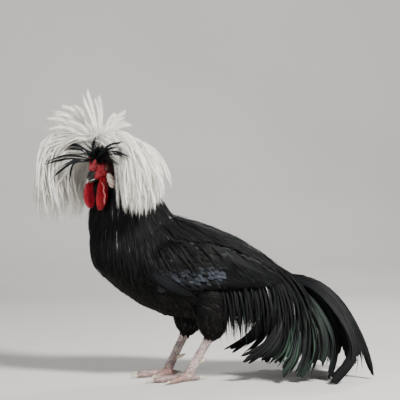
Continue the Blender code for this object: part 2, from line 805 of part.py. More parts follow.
def make_sickles(name, *neighbours):
    """The long drooping coverts and sickles on one side, from a root beside the stub."""
    side = SIDES[name]
    root = ball("tail_" + name, (146, side * 15, 168), 12, 6, 12, (1.2, 0.85, 1))
    feathers = []
    for way, width in SICKLES:
        shift = np.array((0, 0, 0)) if name == "left" else np.array([random.uniform(-6, 6) for _ in range(3)])
        way = np.array([(x, side * y, z) for x, y, z in way], float)
        way[2:] += shift
        way[:, 2] = np.maximum(way[:, 2], TIP_CLEAR)
        path = refine(way, 7)
        feathers.append(vane("sickle", path, (0.25, side, 0.35), [width * f for f in SICKLE_SHAPE], 2.2, 0.1))
    return clear_of(joined("tail_" + name, root, feathers), *neighbours)


# Legs
def make_thigh(name, *neighbours):
    leg = LEGS[name]
    hip, hock = np.array(leg["hip"], float), np.array(leg["hock"], float)
    path = [hip + (hock - hip) * t for t in (-0.12, 0.25, 0.55, 0.8, 0.95, 1.04)]
    thigh = tube("thigh_" + name, path, [THIGH_R * f for f in (0.95, 1.05, 0.98, 0.78, 0.52, 0.36)], 14, (1, 0, 0), 0.8)
    return clear_of(thigh, *neighbours)


def make_shank(name, *neighbours):
    """The scaled shank, with a row of raised scutes down its front."""
    leg = LEGS[name]
    hock, sole = np.array(leg["hock"], float), np.array(leg["sole"], float)
    path = [hock + (sole - hock) * t for t in (-0.05, 0.1, 0.35, 0.7, 0.93)]
    shank = tube("shank_" + name, path, [SHANK_R * f for f in (1.2, 1.06, 0.92, 0.96, 1.12)], 12, (-1, 0, 0), 0.8)
    along = (sole - hock) / np.linalg.norm(sole - hock)
    front = np.cross(along, (0, 1, 0))
    front = front if front[0] < 0 else -front
    across = np.cross(front, along)
    plates = []
    for k in range(SCUTES):
        centre = hock + (sole - hock) * (0.12 + 0.78 * k / (SCUTES - 1)) + front * SHANK_R * 0.52
        ring = [
            centre + along * a * 2.7 + across * b * 4.6 * 0.8 + front * c
            for a, b, c in ((-1, -1, 0), (-1, 1, 0), (1, 1, 0), (1, -1, 0))
        ]
        top = [
            centre + along * a * 2.3 + across * b * 2.8 + front * (SHANK_R * 0.52 + 0.5 + 0.5 * (a > 0))
            for a, b in ((-1, -1), (-1, 1), (1, 1), (1, -1))
        ]
        plates.append(loft("scute", [ring, top]))
    return clear_of(joined("shank_" + name, shank, plates), *neighbours)


def toe_path(name, toe):
    label, turn, length, r = toe
    leg = LEGS[name]
    sole = np.array(leg["sole"], float)
    angle = math.radians(leg["toe"] + turn * SIDES[name] * -1)
    way = np.array((math.cos(angle), math.sin(angle), 0))
    start = np.array((sole[0], sole[1], r * 0.9))
    path = [start + way * length * t + np.array((0, 0, h)) for t, h in ((-0.02, 1.5), (0.3, 1.4), (0.6, 0.8), (0.85, 0), (1, -0.6))]
    radii = [r * f for f in (1.25, 1.0, 0.92, 0.88, 0.62)]
    return path, radii, way


def make_foot(name, *neighbours):
    """Three toes forward and one back from a soft pad, flat where they meet the floor."""
    sole = LEGS[name]["sole"]
    pad = ball("foot_" + name, (sole[0], sole[1], 7), 9.5, 7, 14, (1.05, 0.95, 0.85))
    toes = []
    for toe in TOES:
        path, radii, _ = toe_path(name, toe)
        toes.append(tube("toe", path, radii, 7, (0, 0, 1), 1.0))
    foot = joined("foot_" + name, pad, toes)
    boolean(foot, [slab((-300, -300, -40), (300, 300, SOLE_CUT))], "DIFFERENCE")
    return clear_of(foot, *neighbours)


def make_claw(name, toe, *neighbours):
    path, radii, way = toe_path(name, toe)
    start = np.array(path[-1])
    size = CLAW * (0.8 if toe[0] == "hind" else 1)
    bend = [start + way * size * t + np.array((0, 0, h)) for t, h in ((-0.25, 0.4), (0.25, 1.0), (0.6, 0.2), (0.85, -1.4))]
    tip = start + way * size * 1.02 + np.array((0, 0, 0.5 - start[2]))
    claw = tube("claw_%s_%s" % (name, toe[0]), bend, (2.5, 2.3, 1.8, 1.1), 6, (0, 0, 1), 0.8, tip)
    return clear_of(claw, *neighbours)


def make_spur(name, *neighbours):
    leg = LEGS[name]
    hock, sole = np.array(leg["hock"], float), np.array(leg["sole"], float)
    root = hock + (sole - hock) * 0.66
    way = np.array((0.93, -0.30 * SIDES[name], -0.12))
    way /= np.linalg.norm(way)
    path = [root + way * t + np.array((0, 0, 0.02 * t * t)) for t in (2, 8, 13, 18)]
    spur = tube("spur_" + name, path, (4.2, 3.8, 2.9, 1.6), 10, (0, 0, 1), 1.0, tuple(root + way * 22 + np.array((0, 0, 8))))
    return clear_of(spur, *neighbours)


def settle(objects):
    """Puts the origin under the middle of the whole bird, at floor level."""
    co = np.array([v.co for obj in objects for v in obj.data.vertices])
    low, high = co.min(axis=0), co.max(axis=0)
    shift = Vector((-(low[0] + high[0]) / 2, -(low[1] + high[1]) / 2, -low[2]))
    for obj in objects:
        obj.data.transform(Matrix.Translation(shift))


def main():
    clear_scene()
    random.seed(4)
    body = make_body()
    head = make_head()
    neck, guide = make_neck(body, head)
    eyes = {name: make_eye(side) for name, side in SIDES.items()}
    clear_of(head, *eyes.values())
    for name, eye in eyes.items():
        eye.name = "eye_" + name
    beak, jaw = make_beak(head)
    comb = make_comb(head, beak, *eyes.values())
    lobes = [make_earlobe(name, head, neck) for name in SIDES]
    wattles = [make_wattle(name, head, neck, jaw, beak, lobes[k]) for k, name in enumerate(SIDES)]
    clear_of(wattles[1], wattles[0])

    face = [head, neck, comb, *eyes.values(), *lobes, *wattles, beak]
    front = make_crest_front(guide, *face)
    crests = [make_crest(name, guide, front, *face) for name in CREST_PARTS]

    wings = [make_wing(name, body) for name in SIDES]
    for wing in wings:
        clear_of(wing, neck)
    rump = grown(body, 0)
    boolean(rump, [slab((-400, -200, 0), (PARTING_X + GAP / 2, 200, 500))], "DIFFERENCE")
    boolean(body, [slab((PARTING_X - GAP / 2, -200, 0), (400, 200, 500))], "DIFFERENCE")
    tail = make_tail(rump, *wings)
    sickles = [make_sickles(name, rump, tail, *wings) for name in SIDES]
    rump = make_rump(rump, wings, body, tail, *sickles, *wings)

    legs = []
    for name in SIDES:
        thigh = make_thigh(name, body, rump, *wings)
        shank = make_shank(name, thigh)
        foot = make_foot(name, shank)
        claws = [make_claw(name, toe, foot) for toe in TOES]
        spur = make_spur(name, shank)
        legs += [(thigh, "plumage"), (shank, "shank"), (foot, "shank"), (spur, "horn")]
        legs += [(claw, "horn") for claw in claws]

    looks = {
        "plumage": ((0.012, 0.013, 0.014), 0.35),
        "crest": ((0.85, 0.83, 0.78), 0.6),
        "skin": ((0.62, 0.03, 0.03), 0.45),
        "lobe": ((0.80, 0.72, 0.66), 0.5),
        "horn": ((0.55, 0.50, 0.40), 0.35),
        "bill": ((0.12, 0.12, 0.12), 0.35),
        "eye": ((0.20, 0.05, 0.02), 0.1),
        "shank": ((0.45, 0.40, 0.38), 0.55),
    }
    painted = [(o, "plumage") for o in (body, rump, neck, tail, front, *wings, *sickles)] + legs
    painted += [(head, "skin"), (comb, "skin"), (beak, "bill"), (jaw, "bill")]
    painted += [(o, "skin") for o in wattles] + [(o, "lobe") for o in lobes]
    painted += [(o, "eye") for o in eyes.values()]
    painted += [(o, "crest") for o in crests]
    for obj, look in painted:
        paint(obj, look, *looks[look])
    settle([obj for obj, _ in painted])


main()
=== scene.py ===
# %% [markdown]
# # A crested cock, life size
# The bird stands facing the left of the picture and turns its head towards us. Its solid
# parts are already made. This lesson gives them a skin, and plumage that is real geometry:
# white crest plumes, dark hackles, wing feathers laid in rows and long hanging sickles.

# %% Tools and the frame
import math

import bpy
import numpy as np
from mathutils import Matrix, Vector, noise
from mathutils.bvhtree import BVHTree


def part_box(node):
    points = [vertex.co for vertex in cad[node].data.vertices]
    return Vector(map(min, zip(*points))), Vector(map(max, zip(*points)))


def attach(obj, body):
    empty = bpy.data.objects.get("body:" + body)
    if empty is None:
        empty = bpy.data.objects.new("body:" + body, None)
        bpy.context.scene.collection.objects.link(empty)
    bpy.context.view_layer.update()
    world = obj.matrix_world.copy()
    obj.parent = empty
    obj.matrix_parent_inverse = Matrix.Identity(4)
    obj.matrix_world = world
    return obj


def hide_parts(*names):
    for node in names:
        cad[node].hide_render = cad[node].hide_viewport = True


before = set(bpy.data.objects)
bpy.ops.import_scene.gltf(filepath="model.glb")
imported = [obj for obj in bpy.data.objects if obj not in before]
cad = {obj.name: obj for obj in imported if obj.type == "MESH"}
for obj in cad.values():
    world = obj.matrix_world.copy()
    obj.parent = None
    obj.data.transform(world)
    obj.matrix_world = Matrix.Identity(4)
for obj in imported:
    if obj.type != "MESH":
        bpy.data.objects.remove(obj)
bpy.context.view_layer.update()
rng = np.random.default_rng(7)
print("solid parts:", len(cad))

# %% [markdown]
# ## One way of measuring
# All sizes here are millimetres on the bird, measured from a point on the floor under its
# body. The head has a frame of its own, because it is turned and lowered. The left eye tells
# where that point lies in the finished part.

# %% Places on the bird
HEAD_AT = np.array((-163.0, -27.0, 357.0))
HEAD_TURN = math.radians(34)
HEAD_DOWN = math.radians(20)
EYE_AT = (-8.0, 13.2, 2.5)
KNOB_AT = (5.0, 0.0, 23.0)
KNOB_R = 23.0
head_matrix = np.array(Matrix.Rotation(HEAD_TURN, 3, "Z") @ Matrix.Rotation(-HEAD_DOWN, 3, "Y"))


def on_head(points):
    """Head places as places on the bird."""
    return HEAD_AT + np.asarray(points, float) @ head_matrix.T


low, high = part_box("eye_left")
eye_left = on_head((EYE_AT[0], -EYE_AT[1], EYE_AT[2]))
ORIGIN = np.array((low + high) / 2) - eye_left * 0.001


def metres(points):
    """Places on the bird as places in the scene."""
    return np.asarray(points, float) * 0.001 + ORIGIN


print("floor point:", ORIGIN.round(4))

# %% [markdown]
# ## Camera, floor and light
# The camera stands well back at the height of the crest, so that the bird is hardly
# foreshortened. The floor curves up into a plain backdrop, and three soft lamps light it.

# %% Camera
VIEW_TURN = math.radians(-8)
VIEW_FAR = 2200.0
VIEW_HIGH = 330.0
PICTURE = 400  # pixels across the picture
PIXEL = 1.7  # millimetres on the bird for one pixel
HORIZON = 183.7  # the row of the picture at the camera's own height

camera = bpy.data.cameras.new("camera")
camera.lens = camera.sensor_width * VIEW_FAR / PIXEL / PICTURE
viewer = bpy.data.objects.new("camera", camera)
bpy.context.collection.objects.link(viewer)
away = np.array((math.sin(VIEW_TURN), -math.cos(VIEW_TURN), 0))
viewer.location = metres(away * VIEW_FAR + (0, 0, VIEW_HIGH))
dip = math.atan((PICTURE / 2 - HORIZON) * PIXEL / VIEW_FAR)
viewer.rotation_euler = (math.pi / 2 - dip, 0, VIEW_TURN)
bpy.context.scene.camera = viewer
print("lens:", round(camera.lens, 1), "mm")

# %% Floor and light
FLOOR_WIDE = 8.0  # metres, as are the next ones
FLOOR_FRONT, FLOOR_BACK = -2.4, 1.6
BACKDROP = ((2.0, 0.06), (2.3, 0.3), (2.4, 0.8), (2.4, 3.0))  # how far back and how high

bpy.ops.object.select_all(action="DESELECT")
bpy.ops.mesh.primitive_plane_add(size=1, location=(0, (FLOOR_FRONT + FLOOR_BACK) / 2, 0))
floor = bpy.context.object
floor.name = "floor"
floor.scale = (FLOOR_WIDE, FLOOR_BACK - FLOOR_FRONT, 1)
bpy.ops.object.transform_apply(location=True, rotation=True, scale=True)
bpy.ops.object.mode_set(mode="EDIT")
bpy.ops.mesh.select_mode(type="EDGE")
bpy.ops.mesh.select_all(action="DESELECT")
bpy.ops.object.mode_set(mode="OBJECT")
for edge in floor.data.edges:
    edge.select = all(floor.data.vertices[i].co.y > 0 for i in edge.vertices)
bpy.ops.object.mode_set(mode="EDIT")
reached = (FLOOR_BACK, 0.0)
for y, z in BACKDROP:
    bpy.ops.mesh.extrude_region_move(TRANSFORM_OT_translate={"value": (0, y - reached[0], z - reached[1])})
    reached = (y, z)
bpy.ops.object.mode_set(mode="OBJECT")
bpy.ops.object.shade_smooth()


def soft_light(name, place, aim, size, power, tint):
    lamp = bpy.data.lights.new(name, "AREA")
    lamp.shape = "RECTANGLE"
    lamp.size, lamp.size_y = size
    lamp.energy = power
    lamp.color = tint
    obj = bpy.data.objects.new(name, lamp)
    bpy.context.collection.objects.link(obj)
    obj.location = place
    obj.rotation_euler = (Vector(aim) - Vector(place)).to_track_quat("-Z", "Y").to_euler()


soft_light("key", (1.1, -1.7, 1.9), (-0.08, 0, 0.3), (0.5, 0.5), 185, (1.0, 0.98, 0.95))
soft_light("fill", (-1.6, -1.8, 0.9), (-0.1, 0, 0.3), (0.8, 0.8), 30, (0.97, 0.98, 1.0))
soft_light("rim", (0.9, 1.3, 1.5), (0.05, 0, 0.25), (0.35, 0.35), 22, (1.0, 1.0, 1.0))
world = bpy.data.worlds.new("studio")
bpy.context.scene.world = world
world.use_nodes = True
sky = world.node_tree.nodes["Background"]
sky.inputs["Color"].default_value = (0.96, 0.96, 0.97, 1)
sky.inputs["Strength"].default_value = 0.17
print("floor faces:", len(floor.data.polygons))

# %% [markdown]
# ## Writing materials as sums
# A shader is easier to read as arithmetic than as boxes and wires. A small class wraps a
# socket, so that a plus sign adds a Math node, and one method makes every other node.


# %% Shader helper
class Wire:
    """An output socket that can be used in sums."""

    def __init__(self, finish, socket):
        self.finish, self.socket = finish, socket

    def math(self, operation, *others):
        return self.finish.node("ShaderNodeMath", {"operation": operation}, (self, *others))

    def __add__(self, other):
        return self.math("ADD", other)

    def __radd__(self, other):
        return self.math("ADD", other)

    def __sub__(self, other):
        return self.math("SUBTRACT", other)

    def __rsub__(self, other):
        return self.finish.node("ShaderNodeMath", {"operation": "SUBTRACT"}, (other, self))

    def __mul__(self, other):
        return self.math("MULTIPLY", other)

    def __rmul__(self, other):
        return self.math("MULTIPLY", other)

    def above(self, low, high):
        """0 below low, 1 above high and a smooth rise between."""
        values = {"Value": self, "From Min": low, "From Max": high}
        return self.finish.node("ShaderNodeMapRange", {"interpolation_type": "SMOOTHSTEP"}, values)


class Finish:
    """A material and the nodes that lead to its shader."""

    def __init__(self, name, rough=0.5, **fixed):
        self.material = bpy.data.materials.new(name)
        self.material.use_nodes = True
        self.tree = self.material.node_tree
        self.shader = self.tree.nodes["Principled BSDF"]
        self.shader.inputs["Roughness"].default_value = rough
        for socket, value in fixed.items():
            self.shader.inputs[socket.replace("_", " ")].default_value = value

    def join(self, value, socket):
        if isinstance(value, Wire):
            self.tree.links.new(value.socket, socket)
        elif isinstance(value, (tuple, list)):
            size = len(socket.default_value)
            socket.default_value = (*value, 1)[:size]
        else:
            socket.default_value = value

    def node(self, kind, settings=None, values=(), output=0):
        """Makes a node from its settings and from values or wires for its inputs."""
        made = self.tree.nodes.new(kind)
        for key, value in (settings or {}).items():
            setattr(made, key, value)
        pairs = values.items() if isinstance(values, dict) else enumerate(values)
        for key, value in pairs:
            self.join(value, made.inputs[key])
        return Wire(self, made.outputs[output])

    def place(self, stretch=(1, 1, 1)):
        """Where a point is on the bird."""
        at = self.node("ShaderNodeTexCoord", output="Object")
        return self.node("ShaderNodeMapping", values={"Vector": at, "Scale": stretch})

    def vane(self, stretch=(1, 1, 1)):
        """Where a point is on its own feather: across it and along it."""
        at = self.node("ShaderNodeUVMap", {"uv_map": "Vane"})
        return self.node("ShaderNodeMapping", values={"Vector": at, "Scale": stretch})

    def split(self, wire):
        first = self.node("ShaderNodeSeparateXYZ", values=(wire,))
        return [Wire(self, socket) for socket in first.socket.node.outputs]

    def attribute(self, name):
        return self.split(self.node("ShaderNodeAttribute", {"attribute_name": name}, output="Vector"))

    def noise(self, where, scale, detail=3.0, rough=0.5):
        values = {"Vector": where, "Scale": scale, "Detail": detail, "Roughness": rough}
        return self.node("ShaderNodeTexNoise", values=values)

    def mix(self, share, first, second):
        sockets = {0: share, 6: first, 7: second}  # the factor and the two colours
        return self.node("ShaderNodeMix", {"data_type": "RGBA"}, sockets, output=2)

    def set(self, socket, value):
        self.join(value, self.shader.inputs[socket])

    def bump(self, height, depth, strength=1.0):
        values = {"Height": height, "Distance": depth, "Strength": strength}
        self.set("Normal", self.node("ShaderNodeBump", values=values))


# %% [markdown]
# ## Finishes
# Dark plumage is almost black. What tells the feathers apart is gloss: fine barbs catch the light in
# streaks. Some places shine bluish-grey or green, and that sheen is painted into the base colour. Each
# feather carries three numbers in its Tint: a chance shade, how much green sheen is painted on it and how
# much bluish sheen.


# %% Plumage finishes
def dark_plumage(name, gloss, glints):
    """Black feathers with a shaft, barbs, glints on some of them, and a green and bluish-grey sheen
    painted into their colour.
    """
    look = Finish(name, rough=0.5, Specular_IOR_Level=gloss, Coat_Roughness=0.22)
    chance, green, blue_sheen = look.attribute("Tint")
    across, along, _ = look.split(look.vane())
    barbs = look.noise(look.vane((24, 4, 1)), 1.0, 2.0)
    middle = (across - 0.5).math("ABSOLUTE")
    rim = middle.above(0.30, 0.48)
    base = look.mix(chance, (0.0008, 0.0008, 0.0009), (0.0034, 0.0031, 0.0030))
    # painted sheen: green and bluish-grey shine mixed into the base colour, but not at the feather's edges
    base = look.mix(green * (1 - rim) * 0.9, base, (0.050, 0.105, 0.066))
    base = look.mix(blue_sheen * (1 - rim) * 0.9, base, (0.055, 0.066, 0.084))
    shaft = 1 - middle.above(0.0, 0.06)
    base = look.mix(shaft * 0.2, base, (0.02, 0.019, 0.018))
    look.set("Base Color", base)
    look.set("Roughness", 0.42 + barbs * 0.2)
    streak = (1 - middle.above(0.06, 0.26)) * (1 - along.above(0.6, 0.9))
    look.set("Coat Weight", chance.above(0.74, 0.92) * streak * glints)
    look.bump(barbs + shaft * 0.5, 0.0004, 0.8)
    return look.material


def white_plumage():
    """Warm white, which turns cream on some plumes."""
    look = Finish("white_plumage", rough=0.62)
    chance, shade, _ = look.attribute("Tint")
    base = look.mix(chance, (0.96, 0.95, 0.91), (0.90, 0.87, 0.79))
    base = look.mix(shade, base, (0.70, 0.64, 0.50))
    look.set("Base Color", base)
    return look.material


DARK = dark_plumage("dark_plumage", 0.07, 0.15)
GLOSSY = dark_plumage("glossy_plumage", 0.09, 0.7)
WHITE = white_plumage()


# %% [markdown]
# Skin and horn keep their colours in the same three numbers. Voronoi cells raise a fine grain
# on red skin, and stretched noise draws the growth lines of horn.

# %% Skin and horn finishes
def skin_finish():
    """Red on the face, dark under the plumage, white on the knob and grey-pink on the legs."""
    look = Finish("skin", rough=0.5, Specular_IOR_Level=0.3)
    red, white, leg = look.attribute("Tint")
    grain = look.node("ShaderNodeTexVoronoi", values={"Vector": look.place(), "Scale": 620.0})
    patchy = look.noise(look.place(), 160.0, 3.0)
    face = look.mix(patchy.above(0.40, 0.7), (0.30, 0.0, 0.008), (0.62, 0.05, 0.065))
    scaly = look.mix(patchy.above(0.3, 0.7), (0.16, 0.12, 0.12), (0.50, 0.30, 0.25))
    base = look.mix(red, (0.008, 0.006, 0.007), face)
    base = look.mix(white, base, (0.80, 0.77, 0.70))
    base = look.mix(leg, base, scaly)
    look.set("Base Color", base)
    look.set("Roughness", 0.62 - red * 0.22)
    look.bump(grain, 0.0006, 0.5)
    return look.material


def wattle_finish():
    """Deep red, with painted highlights: paler along the ridge of the crease and on the beads of the
    surface.
    """
    look = Finish("wattle_skin", rough=0.4, Specular_IOR_Level=0.22)
    crease, beads, _ = look.attribute("Tint")
    grain = look.node("ShaderNodeTexVoronoi", values={"Vector": look.place(), "Scale": 700.0})
    patchy = look.noise(look.place(), 90.0, 3.0)
    base = look.mix(patchy.above(0.35, 0.72), (0.17, 0.0, 0.003), (0.29, 0.0, 0.007))
    # painted highlights: pink on the beads, pale along the crease's ridge
    base = look.mix(beads * 0.6, base, (0.60, 0.05, 0.09))
    base = look.mix(crease * 0.85, base, (0.90, 0.30, 0.30))
    look.set("Base Color", base)
    look.bump(grain, 0.0006, 0.5)
    return look.material


def lobe_finish():
    """White skin with a pink flush in patches."""
    look = Finish("lobe_skin", rough=0.5)
    patchy = look.noise(look.place((1, 1, 2)), 140.0, 4.0)
    look.set("Base Color", look.mix(patchy.above(0.3, 0.7), (0.62, 0.40, 0.34), (0.86, 0.78, 0.70)))
    look.bump(patchy, 0.0008, 0.5)
    return look.material


def horn_finish():
    """Pale horn with bands of growth."""
    look = Finish("pale_horn")
    growth = look.noise(look.place((40, 40, 160)), 6.0, 4.0)
    look.set("Base Color", look.mix(growth.above(0.35, 0.7), (0.30, 0.25, 0.20), (0.66, 0.58, 0.42)))
    look.set("Roughness", 0.4 + growth * 0.15)
    look.bump(growth, 0.0003, 0.4)
    return look.material


def bill_finish():
    """Dark horn that pales towards the cutting edge and the tip."""
    look = Finish("bill_horn", rough=0.32)
    growth = look.noise(look.place((60, 60, 20)), 6.0, 4.0)
    _, pale, _ = look.attribute("Tint")
    base = look.mix(growth.above(0.3, 0.7), (0.010, 0.010, 0.010), (0.035, 0.033, 0.031))
    look.set("Base Color", look.mix(pale, base, (0.78, 0.72, 0.62)))
    look.bump(growth, 0.0003, 0.5)
    return look.material


def eye_finish():
    """A wet eye: a black pupil, an orange-brown iris and a dark rim."""
    look = Finish("eye", rough=0.06, Coat_Weight=0.6)
    pupil, iris, _ = look.attribute("Tint")
    rays = look.noise(look.place(), 900.0, 2.0)
    base = look.mix(rays, (0.10, 0.020, 0.008), (0.22, 0.050, 0.015))
    base = look.mix(iris, (0.05, 0.02, 0.015), base)
    look.set("Base Color", look.mix(pupil, base, (0.002, 0.002, 0.002)))
    return look.material


def floor_finish():
    look = Finish("floor", rough=0.85)
    cloud = look.noise(look.place(), 3.0, 3.0)
    look.set("Base Color", look.mix(cloud, (0.52, 0.51, 0.49), (0.57, 0.56, 0.54)))
    return look.material


floor.data.materials.append(floor_finish())
SKIN = skin_finish()

# %% [markdown]
# ## Copies of the solid parts
# Small firm parts keep the solid's own shape. A copy is merged, given a fine even surface by a
# voxel remesh and smoothed, and is then soft enough for folds and grain.


# %% Working on one piece
SIDES = ((-1, "left"), (1, "right"))  # the sign of Y on each side of the bird


def chosen(*pieces):
    """Selects these pieces alone, the first as the active one."""
    bpy.ops.object.select_all(action="DESELECT")
    for piece in pieces:
        piece.select_set(True)
    bpy.context.view_layer.objects.active = pieces[0]


def apply(piece, kind, **settings):
    """Adds a modifier and applies it."""
    step = piece.modifiers.new(kind.lower(), kind)
    for key, value in settings.items():
        setattr(step, key, value)
    chosen(piece)
    bpy.ops.object.modifier_apply(modifier=step.name)


def copy_of(node, name):
    """A copy of a solid part as a plain piece, with its doubled points merged."""
    piece = cad[node].copy()
    piece.data = cad[node].data.copy()
    piece.name = name
    piece.parent = None
    for key in list(piece.keys()):
        del piece[key]
    bpy.context.collection.objects.link(piece)
    chosen(piece)
    bpy.ops.object.mode_set(mode="EDIT")
    bpy.ops.mesh.select_all(action="SELECT")
    bpy.ops.mesh.remove_doubles(threshold=1e-6)
    bpy.ops.object.mode_set(mode="OBJECT")
    piece.data.materials.clear()
    return piece


def fine(node, name, voxel, rounds=6):
    """A smooth close-meshed copy of a solid part."""
    piece = copy_of(node, name)
    apply(piece, "REMESH", mode="VOXEL", voxel_size=voxel * 0.001, adaptivity=0)
    apply(piece, "SMOOTH", factor=0.5, iterations=rounds)
    piece.data.shade_smooth()
    return piece


def spots(piece):
    """The piece's points, in millimetres on the bird."""
    co = np.empty(len(piece.data.vertices) * 3)
    piece.data.vertices.foreach_get("co", co)
    return (co.reshape(-1, 3) - ORIGIN) * 1000


def lifted(piece, amount):
    """Moves each point along its normal by its own amount, in millimetres."""
    for label, share, way in (("rise", amount, 1), ("sink", -amount, -1)):
        share = np.clip(share, 0, None)
        most = float(share.max())
        if most < 0.01:
            continue
        group = piece.vertex_groups.new(name=label)
        for i in np.flatnonzero(share > 0.01):
            group.add([int(i)], float(share[i]) / most, "REPLACE")
        apply(piece, "DISPLACE", vertex_group=label, strength=way * most * 0.001, mid_level=0.0)


def beaded(points, size):
    """Rounded beads of a size: 1 at the middle of each and 0 between them."""
    near = [noise.voronoi(Vector(p / size))[0] for p in points]
    return np.array([min((two - one) * 2.2, 1.0) for one, two, _, _ in near])


def tinted(piece, *numbers):
    """Stores three numbers at each point for its finish to read."""
    values = np.ones((len(piece.data.vertices), 4), np.float32)
    for channel, number in enumerate(numbers):
        values[:, channel] = number
    tint = piece.data.attributes.new("Tint", "FLOAT_COLOR", "POINT")
    tint.data.foreach_set("color", values.ravel())


def kept(piece, finish, slot, *nodes):
    """Gives the piece its finish and its place in the part."""
    piece.data.materials.clear()
    piece.data.materials.append(finish)
    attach(piece, "root")
    if nodes:
        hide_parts(*nodes)
    print(piece.name, len(piece.data.polygons), "faces")


# %% [markdown]
# ## The skin
# One skin runs from the knob on the skull to the toes. A row of egg shapes at each section of
# the body gives its volume, the solid head, shanks and feet join them, and one remesh melts
# them together. It lies under the plumage by about its depth.

# %% Sections of the body
BODY = np.array([  # distance back, lowest, highest and half width
    (-186, 207, 260, 21), (-178, 194, 273, 37), (-160, 168, 284, 51), (-135, 145, 288, 60),
    (-100, 121, 288, 67), (-60, 103, 283, 70), (-20, 97, 273, 69), (20, 101, 260, 65),
    (60, 113, 243, 57), (95, 128, 221, 46), (125, 142, 197, 34), (150, 153, 180, 22),
    (160, 159, 174, 13),
], float)
NECK = np.array([  # height, middle and the two half widths
    (240, -115, 0, 72, 53), (258, -118, 0, 75, 57), (278, -120, 0, 72, 55), (298, -124, -1, 64, 48),
    (316, -129, -3, 53, 39), (332, -135, -6, 40, 30), (346, -141, -9, 29, 23), (357, -147, -12, 20, 17),
], float)
WING = np.array([  # distance back, lowest, highest, how far out and how thick
    (-90, 163, 214, 60, 12), (-70, 157, 229, 64, 14), (-40, 154, 238, 67, 14), (0, 153, 236, 66, 13),
    (40, 152, 224, 60, 12), (80, 151, 205, 51, 9), (110, 150, 186, 43, 6), (134, 150, 164, 37, 4),
], float)
LEGS = {  # hip, hock and the middle of the foot
    "left": ((10, -44, 138), (17, -40, 82), (-27, -37, 7)),
    "right": ((-14, 42, 138), (-15, 36, 82), (-53, 30, 7)),
}
THIGH = ((0.0, 26), (0.2, 27), (0.4, 27), (0.6, 26), (0.78, 23), (0.92, 17))  # share of its length, radius
COAT = 5.0  # how deep the skin lies under the plumage
SKIN_MESH = 2.1  # the size of its faces
EGG_STEP = 9.0


def along(table, at):
    """The table's values at a place between its rows."""
    return np.array([np.interp(at, table[:, 0], column) for column in table.T[1:]])


eggs = []


def egg(centre, radii):
    """An egg shape as part of the skin's volume."""
    size = np.array(radii) * 0.001
    bpy.ops.mesh.primitive_uv_sphere_add(
        segments=24, ring_count=14, radius=1, location=metres(centre), scale=size
    )
    bpy.ops.object.transform_apply(location=True, rotation=True, scale=True)
    eggs.append(bpy.context.object)


for x in np.arange(-168, 158, EGG_STEP):
    low_z, high_z, half = along(BODY, x)
    egg((x, 0, (low_z + high_z) / 2), (16, half - COAT, (high_z - low_z) / 2 - COAT))
for z in np.arange(246, 360, 8.0):
    x, y, length, width = along(NECK, z)
    egg((x, y, z), (length - COAT * min(1, length / 40), width - COAT * min(1, width / 40), 17))
for side, name in SIDES:
    for x in np.arange(-88, 134, EGG_STEP):
        low_z, high_z, out, thick = along(WING, x)
        egg((x, side * (out - 2), (low_z + high_z) / 2), (15, thick * 0.8, (high_z - low_z) / 2 - 3))
    hip, hock, _ = (np.array(p, float) for p in LEGS[name])
    for share, r in THIGH:
        egg(hip + (hock - hip) * share, (r, r * 0.8, r))
egg(on_head(KNOB_AT), (KNOB_R - 3, KNOB_R - 3, KNOB_R - 6))
for name in ("head", "shank_left", "shank_right", "foot_left", "foot_right"):
    eggs.append(copy_of(name, "flesh"))
chosen(*eggs)
bpy.ops.object.join()
skin = eggs[0]
skin.name = "skin"
apply(skin, "REMESH", mode="VOXEL", voxel_size=SKIN_MESH * 0.001, adaptivity=0)
apply(skin, "SMOOTH", factor=0.5, iterations=3)
skin.data.shade_smooth()

# %% [markdown]
# The bare face has finer faces than the rest, for a rim round each eye, the rings of wrinkles
# outside it and the beads towards the bill.

# %% Folds of the face
FACE_MIDDLE = (-14, 0, -2)
LID_RIM = 5.0  # how far the rim of the lids is from the middle of the eye
WRINKLES_FROM = 6.4
BEAD = 3.2


def in_head(points):
    """Places on the bird in the frame of the head."""
    return (points - HEAD_AT) @ head_matrix


near_face = np.linalg.norm((in_head(spots(skin)) - FACE_MIDDLE) / (22, 24, 22), axis=1) < 1
chosen(skin)
facets = skin.data.polygons
facets.foreach_set("select", [all(near_face[i] for i in p.vertices) for p in facets])
bpy.ops.object.mode_set(mode="EDIT")
bpy.ops.mesh.select_mode(type="FACE")
bpy.ops.mesh.subdivide(number_cuts=2, smoothness=0.6)
bpy.ops.object.mode_set(mode="OBJECT")
head_at = in_head(spots(skin))
from_eye = np.hypot(head_at[:, 0] - EYE_AT[0], head_at[:, 2] - EYE_AT[2])
near_face = np.linalg.norm((head_at - FACE_MIDDLE) / (21, 23, 21), axis=1) < 1
sides = near_face * (np.abs(head_at[:, 1]) > 6)
lids = 1.1 * np.exp(-((from_eye - LID_RIM) / 0.9) ** 2) - 0.8 * np.exp(-((from_eye / 3.4) ** 4))
rings = 0.35 * np.sin(from_eye * 2.3) * np.clip(1.6 - from_eye / 8, 0, 1) * (from_eye > WRINKLES_FROM)
beads = np.zeros(len(head_at))
front = near_face & (from_eye > WRINKLES_FROM + 0.1)
beads[front] = beaded(head_at[front], BEAD)
grown = 0.9 * np.clip((-head_at[:, 0] - 6) / 8, 0.25, 1) * front
lifted(skin, (lids + rings) * sides + (beads - 0.4) * grown)
